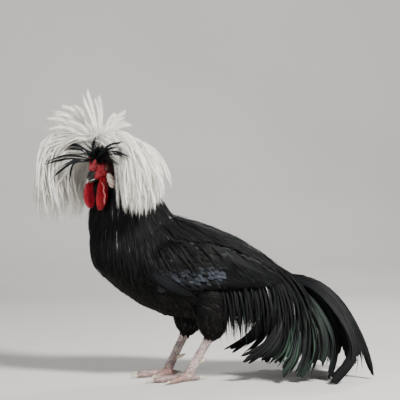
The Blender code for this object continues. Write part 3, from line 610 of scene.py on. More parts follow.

# %% [markdown]
# Where the plumage is thin the skin shows, so it carries the same colours: red on the face, white on the
# knob under the crest, grey-pink on the legs, and nearly black elsewhere. The red carries painted shade:
# it darkens towards the eye and behind it, and between the beads.

# %% Colours of the skin
FLESH = (
    "torso", "neck", "head", "thigh_left", "thigh_right",
    "shank_left", "shank_right", "foot_left", "foot_right",
)
at = spots(skin)
head_at = in_head(at)
face = np.clip(1.6 - np.linalg.norm((head_at - (-12, 0, -2)) / (24, 26, 20), axis=1), 0, 1)
knob = np.clip((head_at[:, 2] - 12) / 4, 0, 1) * (np.linalg.norm(at - on_head(KNOB_AT), axis=1) < 40)
brow = np.clip((head_at[:, 2] - 34 + 0.9 * head_at[:, 0]) / 5, 0, 1)
leg = np.clip((72 - at[:, 2]) / 5, 0, 1)
# painted shade: the red of the face fades to dark towards the eye and behind it, and dims between the
# beads
painted_shading = np.clip((-head_at[:, 0] - 6) / 8, 0.12, 1) * (0.6 + 0.4 * beads)
tinted(skin, face * (1 - knob) * painted_shading, knob * brow, leg)
kept(skin, SKIN, "red_skin", *FLESH)
skin_tree = BVHTree.FromPolygons([Vector(p) for p in at], [p.vertices[:] for p in skin.data.polygons])
skin_normal = np.array([v.normal for v in skin.data.vertices])

# %% [markdown]
# ## A feather as a mesh
# Thousands of feathers are too many to model by hand, so arrays make them. Each is a path with
# a width at each ring and a tip. The section is a thin diamond for a vane and a three-sided
# needle for a single barb. Its second map puts each feather, as a tiny patch, at its root.


# %% Feather meshes
VANE = ((-0.5, 0.0), (0.0, 0.5), (0.5, 0.0), (0.0, -0.5))
NEEDLE = ((-0.5, -0.3), (0.0, 0.6), (0.5, -0.3))
PATCH = 0.003  # the size of one feather on the second map
FLOOR_GAP = 0.3


def unit(v):
    """The same directions at length one."""
    return v / np.maximum(np.linalg.norm(v, axis=-1, keepdims=True), 1e-9)


def feather_points(paths, ups, widths, thick, section, cup):
    """A ring of points round each place of each path, and its tip."""
    count, rings = paths.shape[0], paths.shape[1] - 1
    tangents = unit(np.gradient(paths, axis=1))
    side = unit(np.cross(tangents, ups))
    normal = np.cross(side, tangents)
    wide = np.asarray(widths, float)[..., None]
    corners = []
    for across, rise in section:
        bow = cup * (2 * abs(across)) ** 2
        risen = normal[:, :-1] * (thick * rise - wide * bow)
        corners.append(paths[:, :-1] + side[:, :-1] * wide * across + risen)
    points = np.stack(corners, axis=2).reshape(count, rings * len(section), 3)
    points = np.concatenate([points, paths[:, -1:]], axis=1)
    points[..., 2] = np.maximum(points[..., 2], FLOOR_GAP)
    return points


def feather_faces(first, rings, corners):
    """Triangles of one closed feather, with those of the first one turned outwards."""
    faces = []
    for i in range(rings - 1):
        for k in range(corners):
            near, far = i * corners, (i + 1) * corners
            j = (k + 1) % corners
            faces += [(near + k, near + j, far + j), (near + k, far + j, far + k)]
    tip, last = rings * corners, (rings - 1) * corners
    faces += [(last + k, last + (k + 1) % corners, tip) for k in range(corners)]
    faces += [(0, k + 1, k) for k in range(1, corners - 1)]
    faces = np.array(faces)
    one, two, three = (first[faces[:, k]] for k in range(3))
    volume = np.einsum("ij,ij->i", one, np.cross(two, three)).sum()
    return faces[:, ::-1] if volume < 0 else faces


def mesh_of(name, points, faces):
    """A mesh of triangles from arrays."""
    mesh = bpy.data.meshes.new(name)
    mesh.vertices.add(len(points))
    mesh.vertices.foreach_set("co", metres(points).astype(np.float32).ravel())
    mesh.loops.add(len(faces) * 3)
    mesh.loops.foreach_set("vertex_index", faces.astype(np.int32).ravel())
    mesh.polygons.add(len(faces))
    mesh.polygons.foreach_set("loop_start", np.arange(0, len(faces) * 3, 3, dtype=np.int32))
    mesh.update(calc_edges=True)
    mesh.shade_smooth()
    return mesh


def feathers(name, paths, ups, widths, thick, roots, tint, section=VANE, cup=0.0):
    """One piece of many feathers. paths is feathers by rings and a tip, in millimetres."""
    paths = np.asarray(paths, float)
    count, rings, corners = paths.shape[0], paths.shape[1] - 1, len(section)
    points = feather_points(paths, ups, widths, thick, section, cup)
    each = points.shape[1]
    faces = feather_faces(points[0], rings, corners)
    every = (faces[None] + (np.arange(count) * each)[:, None, None]).reshape(-1, 3)
    mesh = mesh_of(name, points.reshape(-1, 3), every)
    u = np.tile([0.5 + across for across, _ in section], rings)
    v = np.repeat(np.arange(rings) / rings, corners)
    local = np.stack([np.append(u, 0.5), np.append(v, 1.0)], axis=1)
    own = np.tile(local, (count, 1))
    bake = (np.asarray(roots)[:, None] + (local[None] - 0.5) * PATCH).reshape(-1, 2)
    for label, values in (("Vane", own), ("OFBake", bake)):
        layer = mesh.uv_layers.new(name=label)
        layer.uv.foreach_set("vector", values[every.ravel()].astype(np.float32).ravel())
    piece = bpy.data.objects.new(name, mesh)
    bpy.context.collection.objects.link(piece)
    tinted(piece, *np.repeat(np.asarray(tint, float), each, axis=0).T)
    if section is VANE:
        chosen(piece)
        bpy.ops.object.shade_smooth_by_angle(angle=math.radians(60))
    return piece


def round_body(points):
    """A map of the body: round it by its angle and along it by its length."""
    points = np.asarray(points, float)
    turn = np.arctan2(points[:, 1], points[:, 2] - 190) / (2 * math.pi) + 0.5
    far = (points[:, 0] + 290) / 600
    return np.stack([0.02 + 0.96 * turn, 0.02 + 0.96 * np.clip(far, 0, 1)], axis=1)


def round_knob(points):
    """A map of the crest: by the angle round the head and the height."""
    way = unit(np.asarray(points, float) - on_head(KNOB_AT))
    turn = np.arctan2(way[:, 1], way[:, 0]) / (2 * math.pi) + 0.5
    return np.stack([0.02 + 0.96 * turn, 0.02 + 0.48 * (way[:, 2] + 1)], axis=1)


# %% [markdown]
# A feather's path starts a little under the skin and then takes short steps along it, and each
# step is put back to its own height over the skin. Roots are picked from the skin's points so
# that none is too near another, which looks less regular than rows and leaves no bare patch.

# %% Laying feathers on the skin
def nearest_skin(place):
    """The nearest point of the skin and its normal."""
    near, normal, _, _ = skin_tree.find_nearest(Vector(place))
    return np.array(near), np.array(normal)


def settle(roots, headings, lengths, rings, sink, lifts):
    """Paths that leave the skin at their roots and lie along it, tips a little raised."""
    paths, ups = [], []
    lifts = np.broadcast_to(lifts, len(roots))
    for root, heading, length, lift in zip(roots, headings, lengths, lifts):
        here, normal = nearest_skin(root)
        path, up = [here - normal * sink], [normal]
        for k in range(rings):
            way = heading - normal * (heading @ normal)
            here = here + way / max(np.linalg.norm(way), 1e-6) * length / rings
            near, normal = nearest_skin(here)
            gap = (here - near) @ normal
            rise = lift * (k + 1) / rings
            here = here + normal * (rise - gap)
            path.append(here)
            up.append(normal)
        paths.append(path)
        ups.append(up)
    return np.array(paths), np.array(ups)


NEXT_CELLS = np.array([(x, y, z) for x in (-1, 0, 1) for y in (-1, 0, 1) for z in (-1, 0, 1)])


def scatter(mask, spacing):
    """Points of the skin where a mask is true, no closer than a spacing."""
    places = np.flatnonzero(mask)
    rng.shuffle(places)
    taken, picked = {}, []
    for i in places:
        cell = (at[i] // spacing).astype(int)
        beside = [j for near in cell + NEXT_CELLS for j in taken.get(tuple(near), ())]
        if all(np.sum((at[i] - at[j]) ** 2) >= spacing**2 for j in beside):
            taken.setdefault(tuple(cell), []).append(i)
            picked.append(i)
    return np.array(picked)


def profile(shape, widths):
    """The width of each feather at each of its rings."""
    return np.asarray(widths, float)[:, None] * np.array(shape)[None]


def chances(count, green=0.0, blue_sheen=0.0):
    """The three numbers of each feather, the first of them by chance."""
    tint = np.zeros((count, 3))
    tint[:, 0] = rng.random(count)
    # on dark plumage the second number is painted green sheen and the third painted bluish sheen; on white
    # plumes the second is a cream tone, on the toes a flush
    tint[:, 1] = green
    tint[:, 2] = blue_sheen
    return tint


def strayed(paths, spread):
    """Lets each path drift away from its line by chance, most at its tip."""
    grow = np.linspace(0, 1, paths.shape[1])[None, :, None]
    return paths + grow * rng.normal(0, spread, (len(paths), 1, 3))


def facing(way, paths, spread=0.0):
    """One way up for all rings, with each feather turned a little by chance."""
    ways = np.tile(way, (*paths.shape[:2], 1))
    if spread:
        ways = ways + rng.normal(0, spread, (len(paths), 1, 3))
    return unit(ways)


# %% [markdown]
# ## Body feathers
# Round-ended feathers cover breast, belly, back and thighs like tiles. They point from head
# to tail, down the flanks and down the legs, and lie so flat that only their edges show.

# %% Small body feathers
is_leg = at[:, 2] < 77
is_neck = (at[:, 2] > 268) & (at[:, 0] < -40)
is_face = (face > 0.25) | (knob > 0.2)
pick = scatter(~is_leg & ~is_neck & ~is_face & (at[:, 2] < 300), 6.6)
roots = at[pick]
heading = np.tile((1.0, 0.0, -0.45), (len(roots), 1))
heading[:, 2] -= np.clip((-100 - roots[:, 0]) / 50, 0, 1) * 1.1
thigh = np.clip((140 - roots[:, 2]) / 24, 0, 1) * (np.abs(roots[:, 0]) < 60)
heading[:, 0] -= thigh * 0.75
heading[:, 2] -= thigh * 1.1
heading += rng.normal(0, 0.09, heading.shape)
lengths = rng.uniform(20, 28, len(roots)) * (1 - 0.3 * thigh)
paths, ups = settle(roots, heading, lengths, 4, 0.8, 2.6)
widths = profile((0.45, 0.9, 1.0, 0.75), lengths * 0.42)
tint = chances(len(roots))
body_coat = feathers("body_feathers", paths, ups, widths, 0.35, round_body(roots), tint, cup=0.06)
kept(body_coat, DARK, "black_feather")

# %% [markdown]
# ## Hackles
# The neck's feathers are long, narrow and glossy. They spring from the neck in every
# direction and run down over breast and shoulders like a cape.

# %% Neck hackles
cape = (at[:, 0] > -130) & (at[:, 0] < 8) & (at[:, 2] > 234)
pick = scatter(((at[:, 2] > 246) & (at[:, 0] < -40) | cape) & ~is_face & (at[:, 2] < 350), 4.6)
roots = at[pick]
centre = along(NECK, np.clip(roots[:, 2], 240, 357))
spread = unit(roots - np.stack([centre[0], centre[1], roots[:, 2]], axis=1))
behind = np.clip((roots[:, 0] + 120) / 70, 0, 1)[:, None]
heading = spread * 0.22 + np.array((0.12, 0, -1.0)) * (1 - behind) + np.array((0.62, 0, -0.75)) * behind
heading[:, 1] += np.sign(roots[:, 1]) * behind[:, 0] * 0.25
heading += rng.normal(0, 0.05, heading.shape)
lengths = rng.uniform(58, 84, len(roots)) * np.clip(1.15 - (roots[:, 2] - 262) / 260, 0.7, 1.1)
over_wing = np.clip((roots[:, 0] + 100) / 30, 0, 1)
lengths *= 1 + 0.1 * over_wing
paths, ups = settle(roots, heading, lengths, 7, 0.6, 4.2 + 3.6 * over_wing)
widths = profile((0.55, 0.9, 1.0, 0.95, 0.8, 0.55, 0.28), rng.uniform(3.6, 5.4, len(roots)))
# a little painted bluish sheen
tint = chances(len(roots), blue_sheen=0.04)
hackles = feathers("neck_hackles", paths, ups, widths, 0.4, round_body(roots), tint, cup=0.1)
kept(hackles, GLOSSY, "black_feather")

# %% [markdown]
# ## The crest
# Each plume leaves the knob steeply, arches over and hangs. It has a fine shaft and loose
# barbs that part from it on both sides, which is what makes the crest look soft. In front the
# plumes part to both sides like curtains and leave the face free.

# %% Plumes
knob_middle = on_head(KNOB_AT)
ahead = np.array((-math.cos(HEAD_TURN), -math.sin(HEAD_TURN), 0))
aside = np.array((math.sin(HEAD_TURN), -math.cos(HEAD_TURN), 0))
RISES = (-14, 16, 38, 58, 90)  # how steeply plumes leave the knob, in degrees
FALLS = (-86, -90, -88, -84, -66)  # how steeply those plumes end
REACH = (124, 142, 132, 106, 60)  # how long they are
FACE = (-42, 76)  # the gap for the face, in degrees from the way the bill points
FACE_RISE = 40  # how steep plumes are over the middle of the gap
CREST_EDGES = (-272.0, -108.0)  # plumes are drawn in past these places, in front and to the left
PLUME_RINGS = 8


def stirred(paths):
    """Paths that waver a little by chance, as soft plumes do."""
    return paths + np.cumsum(rng.normal(0, 0.9, paths.shape), axis=1)


def crest_way(turn, tilt):
    """The way that a plume points at its turn round the knob and its tilt."""
    turn, tilt = np.asarray(turn)[..., None], np.asarray(tilt)[..., None]
    level = ahead * np.cos(turn) + aside * np.sin(turn)
    return level * np.cos(tilt) + np.array((0, 0, 1.0)) * np.sin(tilt)


def plume_paths(turns, rises, falls, lengths, bends):
    """Arching centre lines, with the way out of the arch at each ring."""
    t = np.linspace(0, 1, PLUME_RINGS + 1)[None]
    tilts = np.radians(rises[:, None] + (falls - rises)[:, None] * t**0.66)
    angles = np.radians(turns[:, None] + bends[:, None] * t**0.4)
    steps = crest_way(angles, tilts) * (lengths[:, None, None] / PLUME_RINGS)
    start = knob_middle + crest_way(angles[:, :1], tilts[:, :1]) * KNOB_R * 0.7
    paths = np.concatenate([start, start + np.cumsum(steps[:, :-1], axis=1)], axis=1)
    ups = crest_way(angles, tilts + math.pi / 2)
    return paths, ups


def off_the_neck(paths, clear):
    """Pushes paths out of the neck and body."""
    for path in paths:
        for k in range(2, len(path)):
            near, out = nearest_skin(path[k])
            gap = (path[k] - near) @ out
            need = clear * min(1, k / 4)
            if gap < need:
                path[k:] += out * (need - gap)
    return paths


# %% [markdown]
# A plume is a shaft with barbs on both sides, each a needle of its own. A flat vane with a
# torn edge would take fewer faces, but only loose barbs let the light through as the crest does.

# %% Barbs
BARB_STEPS = 3


def barbs(paths, ups, widths, each, length):
    """Loose barbs along both sides of each shaft, with the number of the shaft of each."""
    count, rings = paths.shape[0], paths.shape[1] - 1
    side = unit(np.cross(unit(np.gradient(paths, axis=1)), ups))
    rows, made, made_ups = np.arange(count), [], []
    for j in range(each):
        sign = 1 if j % 2 else -1
        start = 0.03 + 0.85 * (j + rng.random(count)) / each
        run = length * rng.uniform(0.75, 1.25, count) * (1.0 - 0.3 * start)
        off = rng.uniform(0.1, 1.25, count)
        reach = widths / 2 * off * np.sin(0.4 + start * 2.0) * (1.05 - start) ** 0.5
        lift = reach * rng.uniform(-0.9, 0.6, count)
        last = 1.03 - 0.3 * off * rng.random(count)
        path = []
        for s in range(BARB_STEPS + 1):
            t = start + (np.minimum(start + run, last) - start) * s / BARB_STEPS
            index = np.clip((t * rings).astype(int), 0, rings - 1)
            share = (t * rings - index)[:, None]
            point = paths[rows, index] * (1 - share) + paths[rows, index + 1] * share
            out = (reach * (s / BARB_STEPS) ** 0.75)[:, None]
            rise = (lift * (s / BARB_STEPS) ** 1.5)[:, None]
            path.append(point + side[rows, index] * out * sign + ups[rows, index] * rise)
        made.append(np.stack(path, axis=1))
        turn = ups[rows, np.clip((start * rings).astype(int), 0, rings)]
        made_ups.append(np.repeat(turn[:, None], BARB_STEPS + 1, axis=1))
    return np.concatenate(made), np.concatenate(made_ups), np.tile(rows, each)


def plumes(name, paths, ups, wide, each, tint, finish, slot, *nodes, needle=0.9, run=0.4):
    """A part of the crest: shafts with their barbs."""
    for axis, edge in enumerate(CREST_EDGES):
        paths[..., axis] = np.maximum(paths[..., axis], edge + 0.3 * (paths[..., axis] - edge))
    lines, line_ups, owners = barbs(paths, ups, wide, each, run)
    uv = round_knob(paths[:, 0])
    shape = profile((0.8, 1.0, 0.6), needle * rng.uniform(0.7, 1.2, len(lines)))
    piece = feathers(name, lines, line_ups, shape, needle * 0.45, uv[owners], tint[owners], NEEDLE)
    rings = paths.shape[1] - 1
    stem = np.tile(np.linspace(1.5, 0.5, rings), (len(paths), 1))
    shaft = feathers("shafts", paths, ups, stem, 0.6, uv, tint, NEEDLE)
    chosen(piece, shaft)
    bpy.ops.object.join()
    kept(piece, finish, slot, *nodes)


# %% [markdown]
# The crest's main plumes spring from the knob in every direction but that of the face. They
# are drawn by chance from a table of rises, falls and lengths, because combed rows would look
# like a wig. Two smaller groups fill the forehead and the crown.

# %% Main plumes of the crest
def crest_roots(first, last, count):
    """Chance roots on a sector of the knob, with the gap for the face."""
    turns = rng.uniform(first, last, count * 3)
    rises = np.degrees(np.arcsin(rng.uniform(math.sin(math.radians(-16)), 1, count * 3)))
    front = (turns + 180) % 360 - 180
    over = (front > FACE[0]) & (front < FACE[1])
    middle, half = (FACE[0] + FACE[1]) / 2, (FACE[1] - FACE[0]) / 2
    arch = FACE_RISE * np.sqrt(np.clip(1 - ((front - middle) / half) ** 4, 0, 1))
    open_face = over & (rises < arch)
    turns, rises, front, over = (v[~open_face][:count] for v in (turns, rises, front, over))
    falls = np.interp(rises, RISES, FALLS) + rng.normal(0, 7, len(turns))
    rightward = np.sin(np.radians(front - 48))
    lengths = np.interp(rises, RISES, REACH) * rng.uniform(0.84, 1.05, len(turns))
    lengths *= 1 - 0.2 * rightward + 0.2 * np.clip(np.cos(np.radians(front - 108)), 0, 1)
    falls = falls - 14 * np.clip(rightward, 0, 1)
    part = np.sign(front - middle)
    bends = np.where(over, part * 95, part * 10 * (np.abs(front - middle) < 90))
    bends = bends + rng.normal(0, 8, len(turns))
    lengths = np.where(over, lengths * 0.8, lengths)
    falls = np.where(over, falls * 0.8, falls)
    return turns, rises, falls, lengths, bends


PLUME_WIDTH = (12, 22)
CREST = {  # the first and last turn of each sector, and its plumes
    "crest_left": (30, 160, 520),
    "crest_back": (160, 238, 330),
    "crest_right": (238, 390, 520),
}
for name, sector in CREST.items():
    paths, ups = plume_paths(*crest_roots(*sector))
    paths = off_the_neck(paths, 6.0)
    paths = stirred(paths)
    tint = chances(len(paths), green=np.clip(rng.normal(0.06, 0.12, len(paths)), 0, 1))
    wide = rng.uniform(*PLUME_WIDTH, len(paths))
    plumes(name + "_plumes", paths, ups, wide, 20, tint, WHITE, "crest_feather", name)

FILLS = {  # count, then the ranges of way, rise, fall, length and bend
    "crest_forehead": (200, (-95, -36), (-6, 60), (-80, -20), (60, 104), (-16, 10)),
    "crest_crown": (120, (-40, 100), (40, 82), (20, 62), (20, 38), (-10, 10)),
}
for name, (count, *ranges) in FILLS.items():
    paths, ups = plume_paths(*(rng.uniform(*ends, count) for ends in ranges))
    paths = stirred(paths)
    wide = rng.uniform(*PLUME_WIDTH, count)
    tint = chances(count, green=0.05)
    plumes(name, paths, ups, wide, 26, tint, WHITE, "crest_feather", needle=0.7)

# %% [markdown]
# Some plumes stand apart from the rest: two upright strands, a small fan on the crown, a fluffy
# arch above the left of the picture and thin wisps that hang free. Each has its own line.


# %% Lines for single feathers
def curve(points, rings, blunt=1.0):
    """A smooth line through a few points, with its last rings drawn closer to the tip."""
    points = np.array(points, float)
    slope = np.gradient(points, axis=0)
    made = []
    for s in np.linspace(0, 1, rings + 1):
        t = (1 - (1 - s) ** blunt) * (len(points) - 1)
        i = min(int(t), len(points) - 2)
        u = t - i
        ends = (2 * u**3 - 3 * u**2 + 1) * points[i] + (3 * u**2 - 2 * u**3) * points[i + 1]
        made.append(ends + (u**3 - 2 * u**2 + u) * slope[i] + (u**3 - u**2) * slope[i + 1])
    return np.array(made)


LOCKS = (  # width and the places it passes
    (9, ((-175, -34, 392), (-178, -35, 427), (-184, -36, 458), (-192, -36, 488))),
    (8, ((-176, -34, 392), (-180, -37, 425), (-187, -38, 452), (-197, -38, 476))),
    (9, ((-172, -32, 392), (-172, -33, 422), (-174, -33, 450), (-180, -33, 474))),
    (12, ((-164, -25, 396), (-156, -25, 418), (-145, -25, 436), (-130, -25, 446))),
    (12, ((-164, -22, 396), (-154, -21, 416), (-141, -20, 429), (-124, -20, 434))),
    (12, ((-166, -22, 398), (-161, -21, 420), (-153, -20, 436), (-142, -20, 446))),
    (22, ((-178, -24, 392), (-197, -16, 428), (-216, -11, 452), (-240, -10, 461))),
    (22, ((-180, -22, 390), (-201, -15, 422), (-224, -10, 446), (-253, -8, 448))),
    (20, ((-177, -18, 394), (-192, -8, 430), (-206, -4, 452), (-222, -2, 460))),
    (20, ((-182, -26, 388), (-208, -22, 416), (-234, -20, 436), (-262, -18, 436))),
    (14, ((-156, -20, 384), (-104, -22, 400), (-70, -27, 368), (-54, -30, 324))),
)
BROWS = (  # broad soft plumes that sweep from the forehead over both sides
    (20, ((-182, -38, 386), (-198, -36, 405), (-224, -28, 419), (-257, -20, 412))),
    (20, ((-184, -38, 382), (-202, -36, 395), (-228, -28, 404), (-260, -22, 391))),
    (18, ((-180, -38, 387), (-189, -38, 410), (-205, -32, 427), (-231, -24, 435))),
    (18, ((-185, -38, 379), (-205, -36, 386), (-228, -28, 386), (-254, -20, 369))),
    (16, ((-177, -40, 389), (-179, -40, 409), (-185, -36, 422), (-196, -30, 432))),
    (18, ((-173, -44, 389), (-165, -58, 405), (-151, -64, 414), (-128, -66, 411))),
    (18, ((-169, -48, 385), (-158, -72, 398), (-143, -86, 401), (-121, -96, 389))),
    (16, ((-189, -38, 376), (-205, -34, 372), (-221, -28, 366), (-234, -22, 343))),
    (11, ((-156, -62, 372), (-146, -80, 359), (-141, -84, 330), (-135, -84, 292))),
    (13, ((-156, -62, 375), (-143, -84, 360), (-135, -90, 328), (-127, -90, 283))),
)
WISPS = (
    (5, ((-182, -16, 384), (-236, -18, 414), (-272, -20, 372), (-267, -20, 300))),
    (5, ((-182, -16, 382), (-230, -20, 404), (-258, -22, 352), (-248, -22, 273))),
    (4, ((-182, -14, 384), (-226, -16, 408), (-254, -18, 350), (-237, -18, 274))),
    (5, ((-180, -12, 384), (-218, -14, 400), (-236, -14, 340), (-218, -14, 266))),
    (4, ((-178, -10, 384), (-206, -12, 396), (-222, -12, 340), (-209, -12, 277))),
    (4, ((-182, -14, 386), (-238, -14, 412), (-268, -16, 360), (-258, -18, 290))),
    (4, ((-180, -8, 384), (-210, -6, 400), (-230, -6, 344), (-226, -6, 284))),
)
STRANDS = {  # lines, copies of each, barbs, how far copies stray and how thick a barb is
    "crest_locks": (LOCKS, 3, 44, 3.5, 0.6),
    "crest_brows": (BROWS, 6, 34, 6.0, 0.5),
    "crest_wisps": (WISPS, 6, 22, 9.0, 0.42),
}


def copied(table, copies, spread):
    """The table's lines with their copies, and the width of each."""
    lines = np.array([curve(way, PLUME_RINGS) for _, way in table])
    wide = np.repeat([float(width) for width, _ in table], copies)
    return strayed(np.repeat(lines, copies, axis=0), spread), wide


for name, (table, copies, each, spread, needle) in STRANDS.items():
    paths, wide = copied(table, copies, spread)
    wide = wide * rng.uniform(0.6, 1.0, len(paths))
    ups = facing((-0.1, -0.9, 0.45), paths)
    tint = chances(len(paths), green=0.06)
    plumes(name, paths, ups, wide, each, tint, WHITE, "crest_feather", needle=needle)

# %% [markdown]
# A tuft of black feathers grows between the bill and the white crest. Its long ones part to
# both sides and are thin vanes with barbs, so that they look like brush strokes over the
# white, and short fuzz hides their roots.

# %% Dark feathers over the bill
WHISKERS = (  # width and the places it passes
    (7, ((-186, -46, 374), (-201, -46, 389), (-218, -36, 395), (-234, -24, 393))),
    (5, ((-186, -46, 372), (-202, -48, 384), (-215, -42, 387), (-228, -32, 384))),
    (5, ((-186, -48, 369), (-209, -50, 375), (-233, -42, 375), (-261, -30, 364))),
    (4, ((-187, -48, 367), (-212, -50, 371), (-235, -44, 369), (-264, -32, 361))),
    (5, ((-187, -48, 367), (-212, -52, 366), (-230, -48, 357), (-251, -40, 338))),
    (4, ((-187, -48, 369), (-209, -52, 369), (-222, -50, 364), (-238, -48, 352))),
    (3, ((-190, -50, 367), (-214, -56, 364), (-221, -54, 352), (-223, -52, 333))),
    (6, ((-181, -46, 373), (-185, -52, 387), (-184, -52, 398), (-180, -48, 410))),
    (7, ((-179, -50, 372), (-170, -88, 385), (-159, -112, 393), (-140, -122, 396))),
    (5, ((-178, -50, 371), (-169, -88, 381), (-161, -112, 386), (-150, -120, 388))),
    (5, ((-175, -52, 371), (-164, -90, 380), (-150, -114, 381), (-130, -122, 372))),
    (4, ((-173, -52, 369), (-161, -90, 376), (-148, -114, 377), (-134, -121, 370))),
    (4, ((-171, -52, 367), (-164, -86, 371), (-157, -104, 366), (-148, -112, 358))),
)
FUZZ = 110
FUZZ_RANGES = ((-30, 66), (-34, 16), (-70, -10), (8, 17))  # way, rise, fall and length
long_ones, long_wide = copied(WHISKERS, 3, 1.6)
long_ups = facing((-0.1, -0.9, 0.3), long_ones)
fuzz_paths, fuzz_ups = plume_paths(*(rng.uniform(*ends, FUZZ) for ends in FUZZ_RANGES), np.zeros(FUZZ))
paths, ups = np.concatenate([long_ones, fuzz_paths]), np.concatenate([long_ups, fuzz_ups])
wide = np.concatenate([long_wide, np.full(FUZZ, 6.0)])
# painted bluish sheen on the dark barbs
tint = chances(len(paths), blue_sheen=0.15)
plumes(
    "crest_front_barbs", paths, ups, wide, 26, tint, DARK, "black_feather", "crest_front",
    needle=0.6, run=0.3,
)
narrow = long_wide * rng.uniform(0.35, 0.6, len(long_ones))
shape = profile((0.4, 0.7, 0.9, 1.0, 1.0, 0.9, 0.7, 0.4), narrow)
# painted bluish sheen on the dark vanes
tint = chances(len(long_ones), blue_sheen=0.2)
over_bill = round_knob(long_ones[:, 0])
whiskers = feathers("crest_front_vanes", long_ones, long_ups, shape, 0.4, over_bill, tint)
kept(whiskers, GLOSSY, "black_feather")

# %% [markdown]
# ## Wings
# A folded wing shows small scaly feathers on its bow, the broad smooth quills behind them
# whose lower edges make one line, and a small tongue of thumb feathers in front.

# %% Wing feathers
QUILLS = (  # how many, first start and end, last start and end, width, lift, painted bluish sheen
    (4, ((-26, 162), (126, 152)), ((-6, 168), (134, 158)), 12, 1.4, 0.0),
    (7, ((2, 168), (104, 157)), ((4, 204), (122, 164)), 15, 2.6, 0.08),
    (5, ((10, 206), (112, 158)), ((14, 236), (110, 182)), 16, 4.2, 0.08),
    (2, ((-101, 184), (-34, 148)), ((-92, 186), (-26, 143)), 19, 11.0, 0.1),
)
THUMB_SHAPE = (0.5, 0.8, 1.0, 1.05, 1.05, 1.0, 0.95, 0.9, 0.75)
QUILL_SHAPE = (0.5, 0.8, 1.0, 1.05, 1.0, 0.95, 0.85, 0.7, 0.45)


def wing_quills(side, name):
    """The rows of long feathers, each row from its first feather to its last."""
    parts = []
    for count, first, last, width, lift, blue_sheen in QUILLS:
        t = np.linspace(0, 1, count)[:, None]
        ends = []
        for i in (0, 1):
            xz = np.array(first[i]) * (1 - t) + np.array(last[i]) * t
            out = side * (along(WING, xz[:, 0])[2] + 18)
            ends.append(np.stack([xz[:, 0], out, xz[:, 1]], axis=1))
        lengths = np.linalg.norm(ends[1] - ends[0], axis=1)
        paths, ups = settle(ends[0], ends[1] - ends[0], lengths, 9, 0.4, lift)
        stacked = paths + ups * np.linspace(0, 2.0, count)[:, None, None]
        shape = THUMB_SHAPE if lift > 9 else QUILL_SHAPE
        widths = profile(shape, np.full(count, width))
        # painted bluish sheen on the rows that shine
        tint = chances(count, blue_sheen=blue_sheen)
        parts.append((stacked, unit(ups + np.array((0, 0, 0.18))), widths, tint))
    paths, ups, widths, tint = (np.concatenate(one) for one in zip(*parts))
    on_map = round_body(paths[:, 0])
    big = feathers("wing_" + name + "_quills", paths, ups, widths, 0.5, on_map, tint, cup=0.09)
    kept(big, DARK, "black_feather", "wing_" + name)


# %% [markdown]
# The small feathers of the bow lie like scales. A band of them across the wing has a bluish sheen painted
# into its colour, strongest along its middle, so their sheen number falls off with the distance from that
# line.

# %% Bow of the wing
def wing_bow(side, name):
    """Small scaly feathers on the front of the wing."""
    x, out, z = at[:, 0], at[:, 1] * side, at[:, 2]
    on_wing = (out > 50) & (x > -88) & (x < 22) & (z > 160) & (z < 224)
    roots = at[scatter(on_wing, 6.0)]
    count = len(roots)
    heading = np.tile((1.0, 0, -0.5), (count, 1)) + rng.normal(0, 0.07, (count, 3))
    lengths = rng.uniform(15, 21, count)
    paths, ups = settle(roots, heading, lengths, 4, 0.4, 4.6)
    # painted bluish sheen: a band across the wing, strongest along its middle
    from_band = np.abs(roots[:, 2] - 182 - (roots[:, 0] + 20) * 0.12)
    blue_sheen = np.clip(1.1 - from_band / 20, 0, 1) * rng.uniform(0.1, 1, count)
    widths = profile((0.5, 0.95, 1.0, 0.75), lengths * 0.5)
    tint = chances(count, blue_sheen=blue_sheen)
    on_map = round_body(roots)
    small = feathers("wing_" + name + "_bow", paths, ups, widths, 0.35, on_map, tint, cup=0.06)
    kept(small, GLOSSY, "black_feather")


for side, name in SIDES:
    wing_quills(side, name)
    wing_bow(side, name)

# %% [markdown]
# ## Saddle
# Narrow glossy feathers start along the back, follow its slope over the top of the wing, and
# hang below it as a fringe.


# %% Lines mixed from guides
def between(lines, where, jitter):
    """Lines mixed from neighbouring guides. where runs from 0 to the last guide."""
    lines = np.asarray(lines)
    i = np.clip(where.astype(int), 0, len(lines) - 2)
    share = (where - i)[:, None, None]
    return strayed(lines[i] * (1 - share) + lines[i + 1] * share, jitter)


def shorter(paths, first, last):
    """The stretch of each path between two shares of its length."""
    count, places = paths.shape[:2]
    t = (first[:, None] + (last - first)[:, None] * np.linspace(0, 1, places)[None]) * (places - 1)
    i = np.clip(t.astype(int), 0, places - 2)
    share = (t - i)[..., None]
    rows = np.arange(count)[:, None]
    return paths[rows, i] * (1 - share) + paths[rows, i + 1] * share


def above_floor(paths, height=1.5):
    """Keeps paths off the floor."""
    paths[..., 2] = np.maximum(paths[..., 2], height)
    return paths


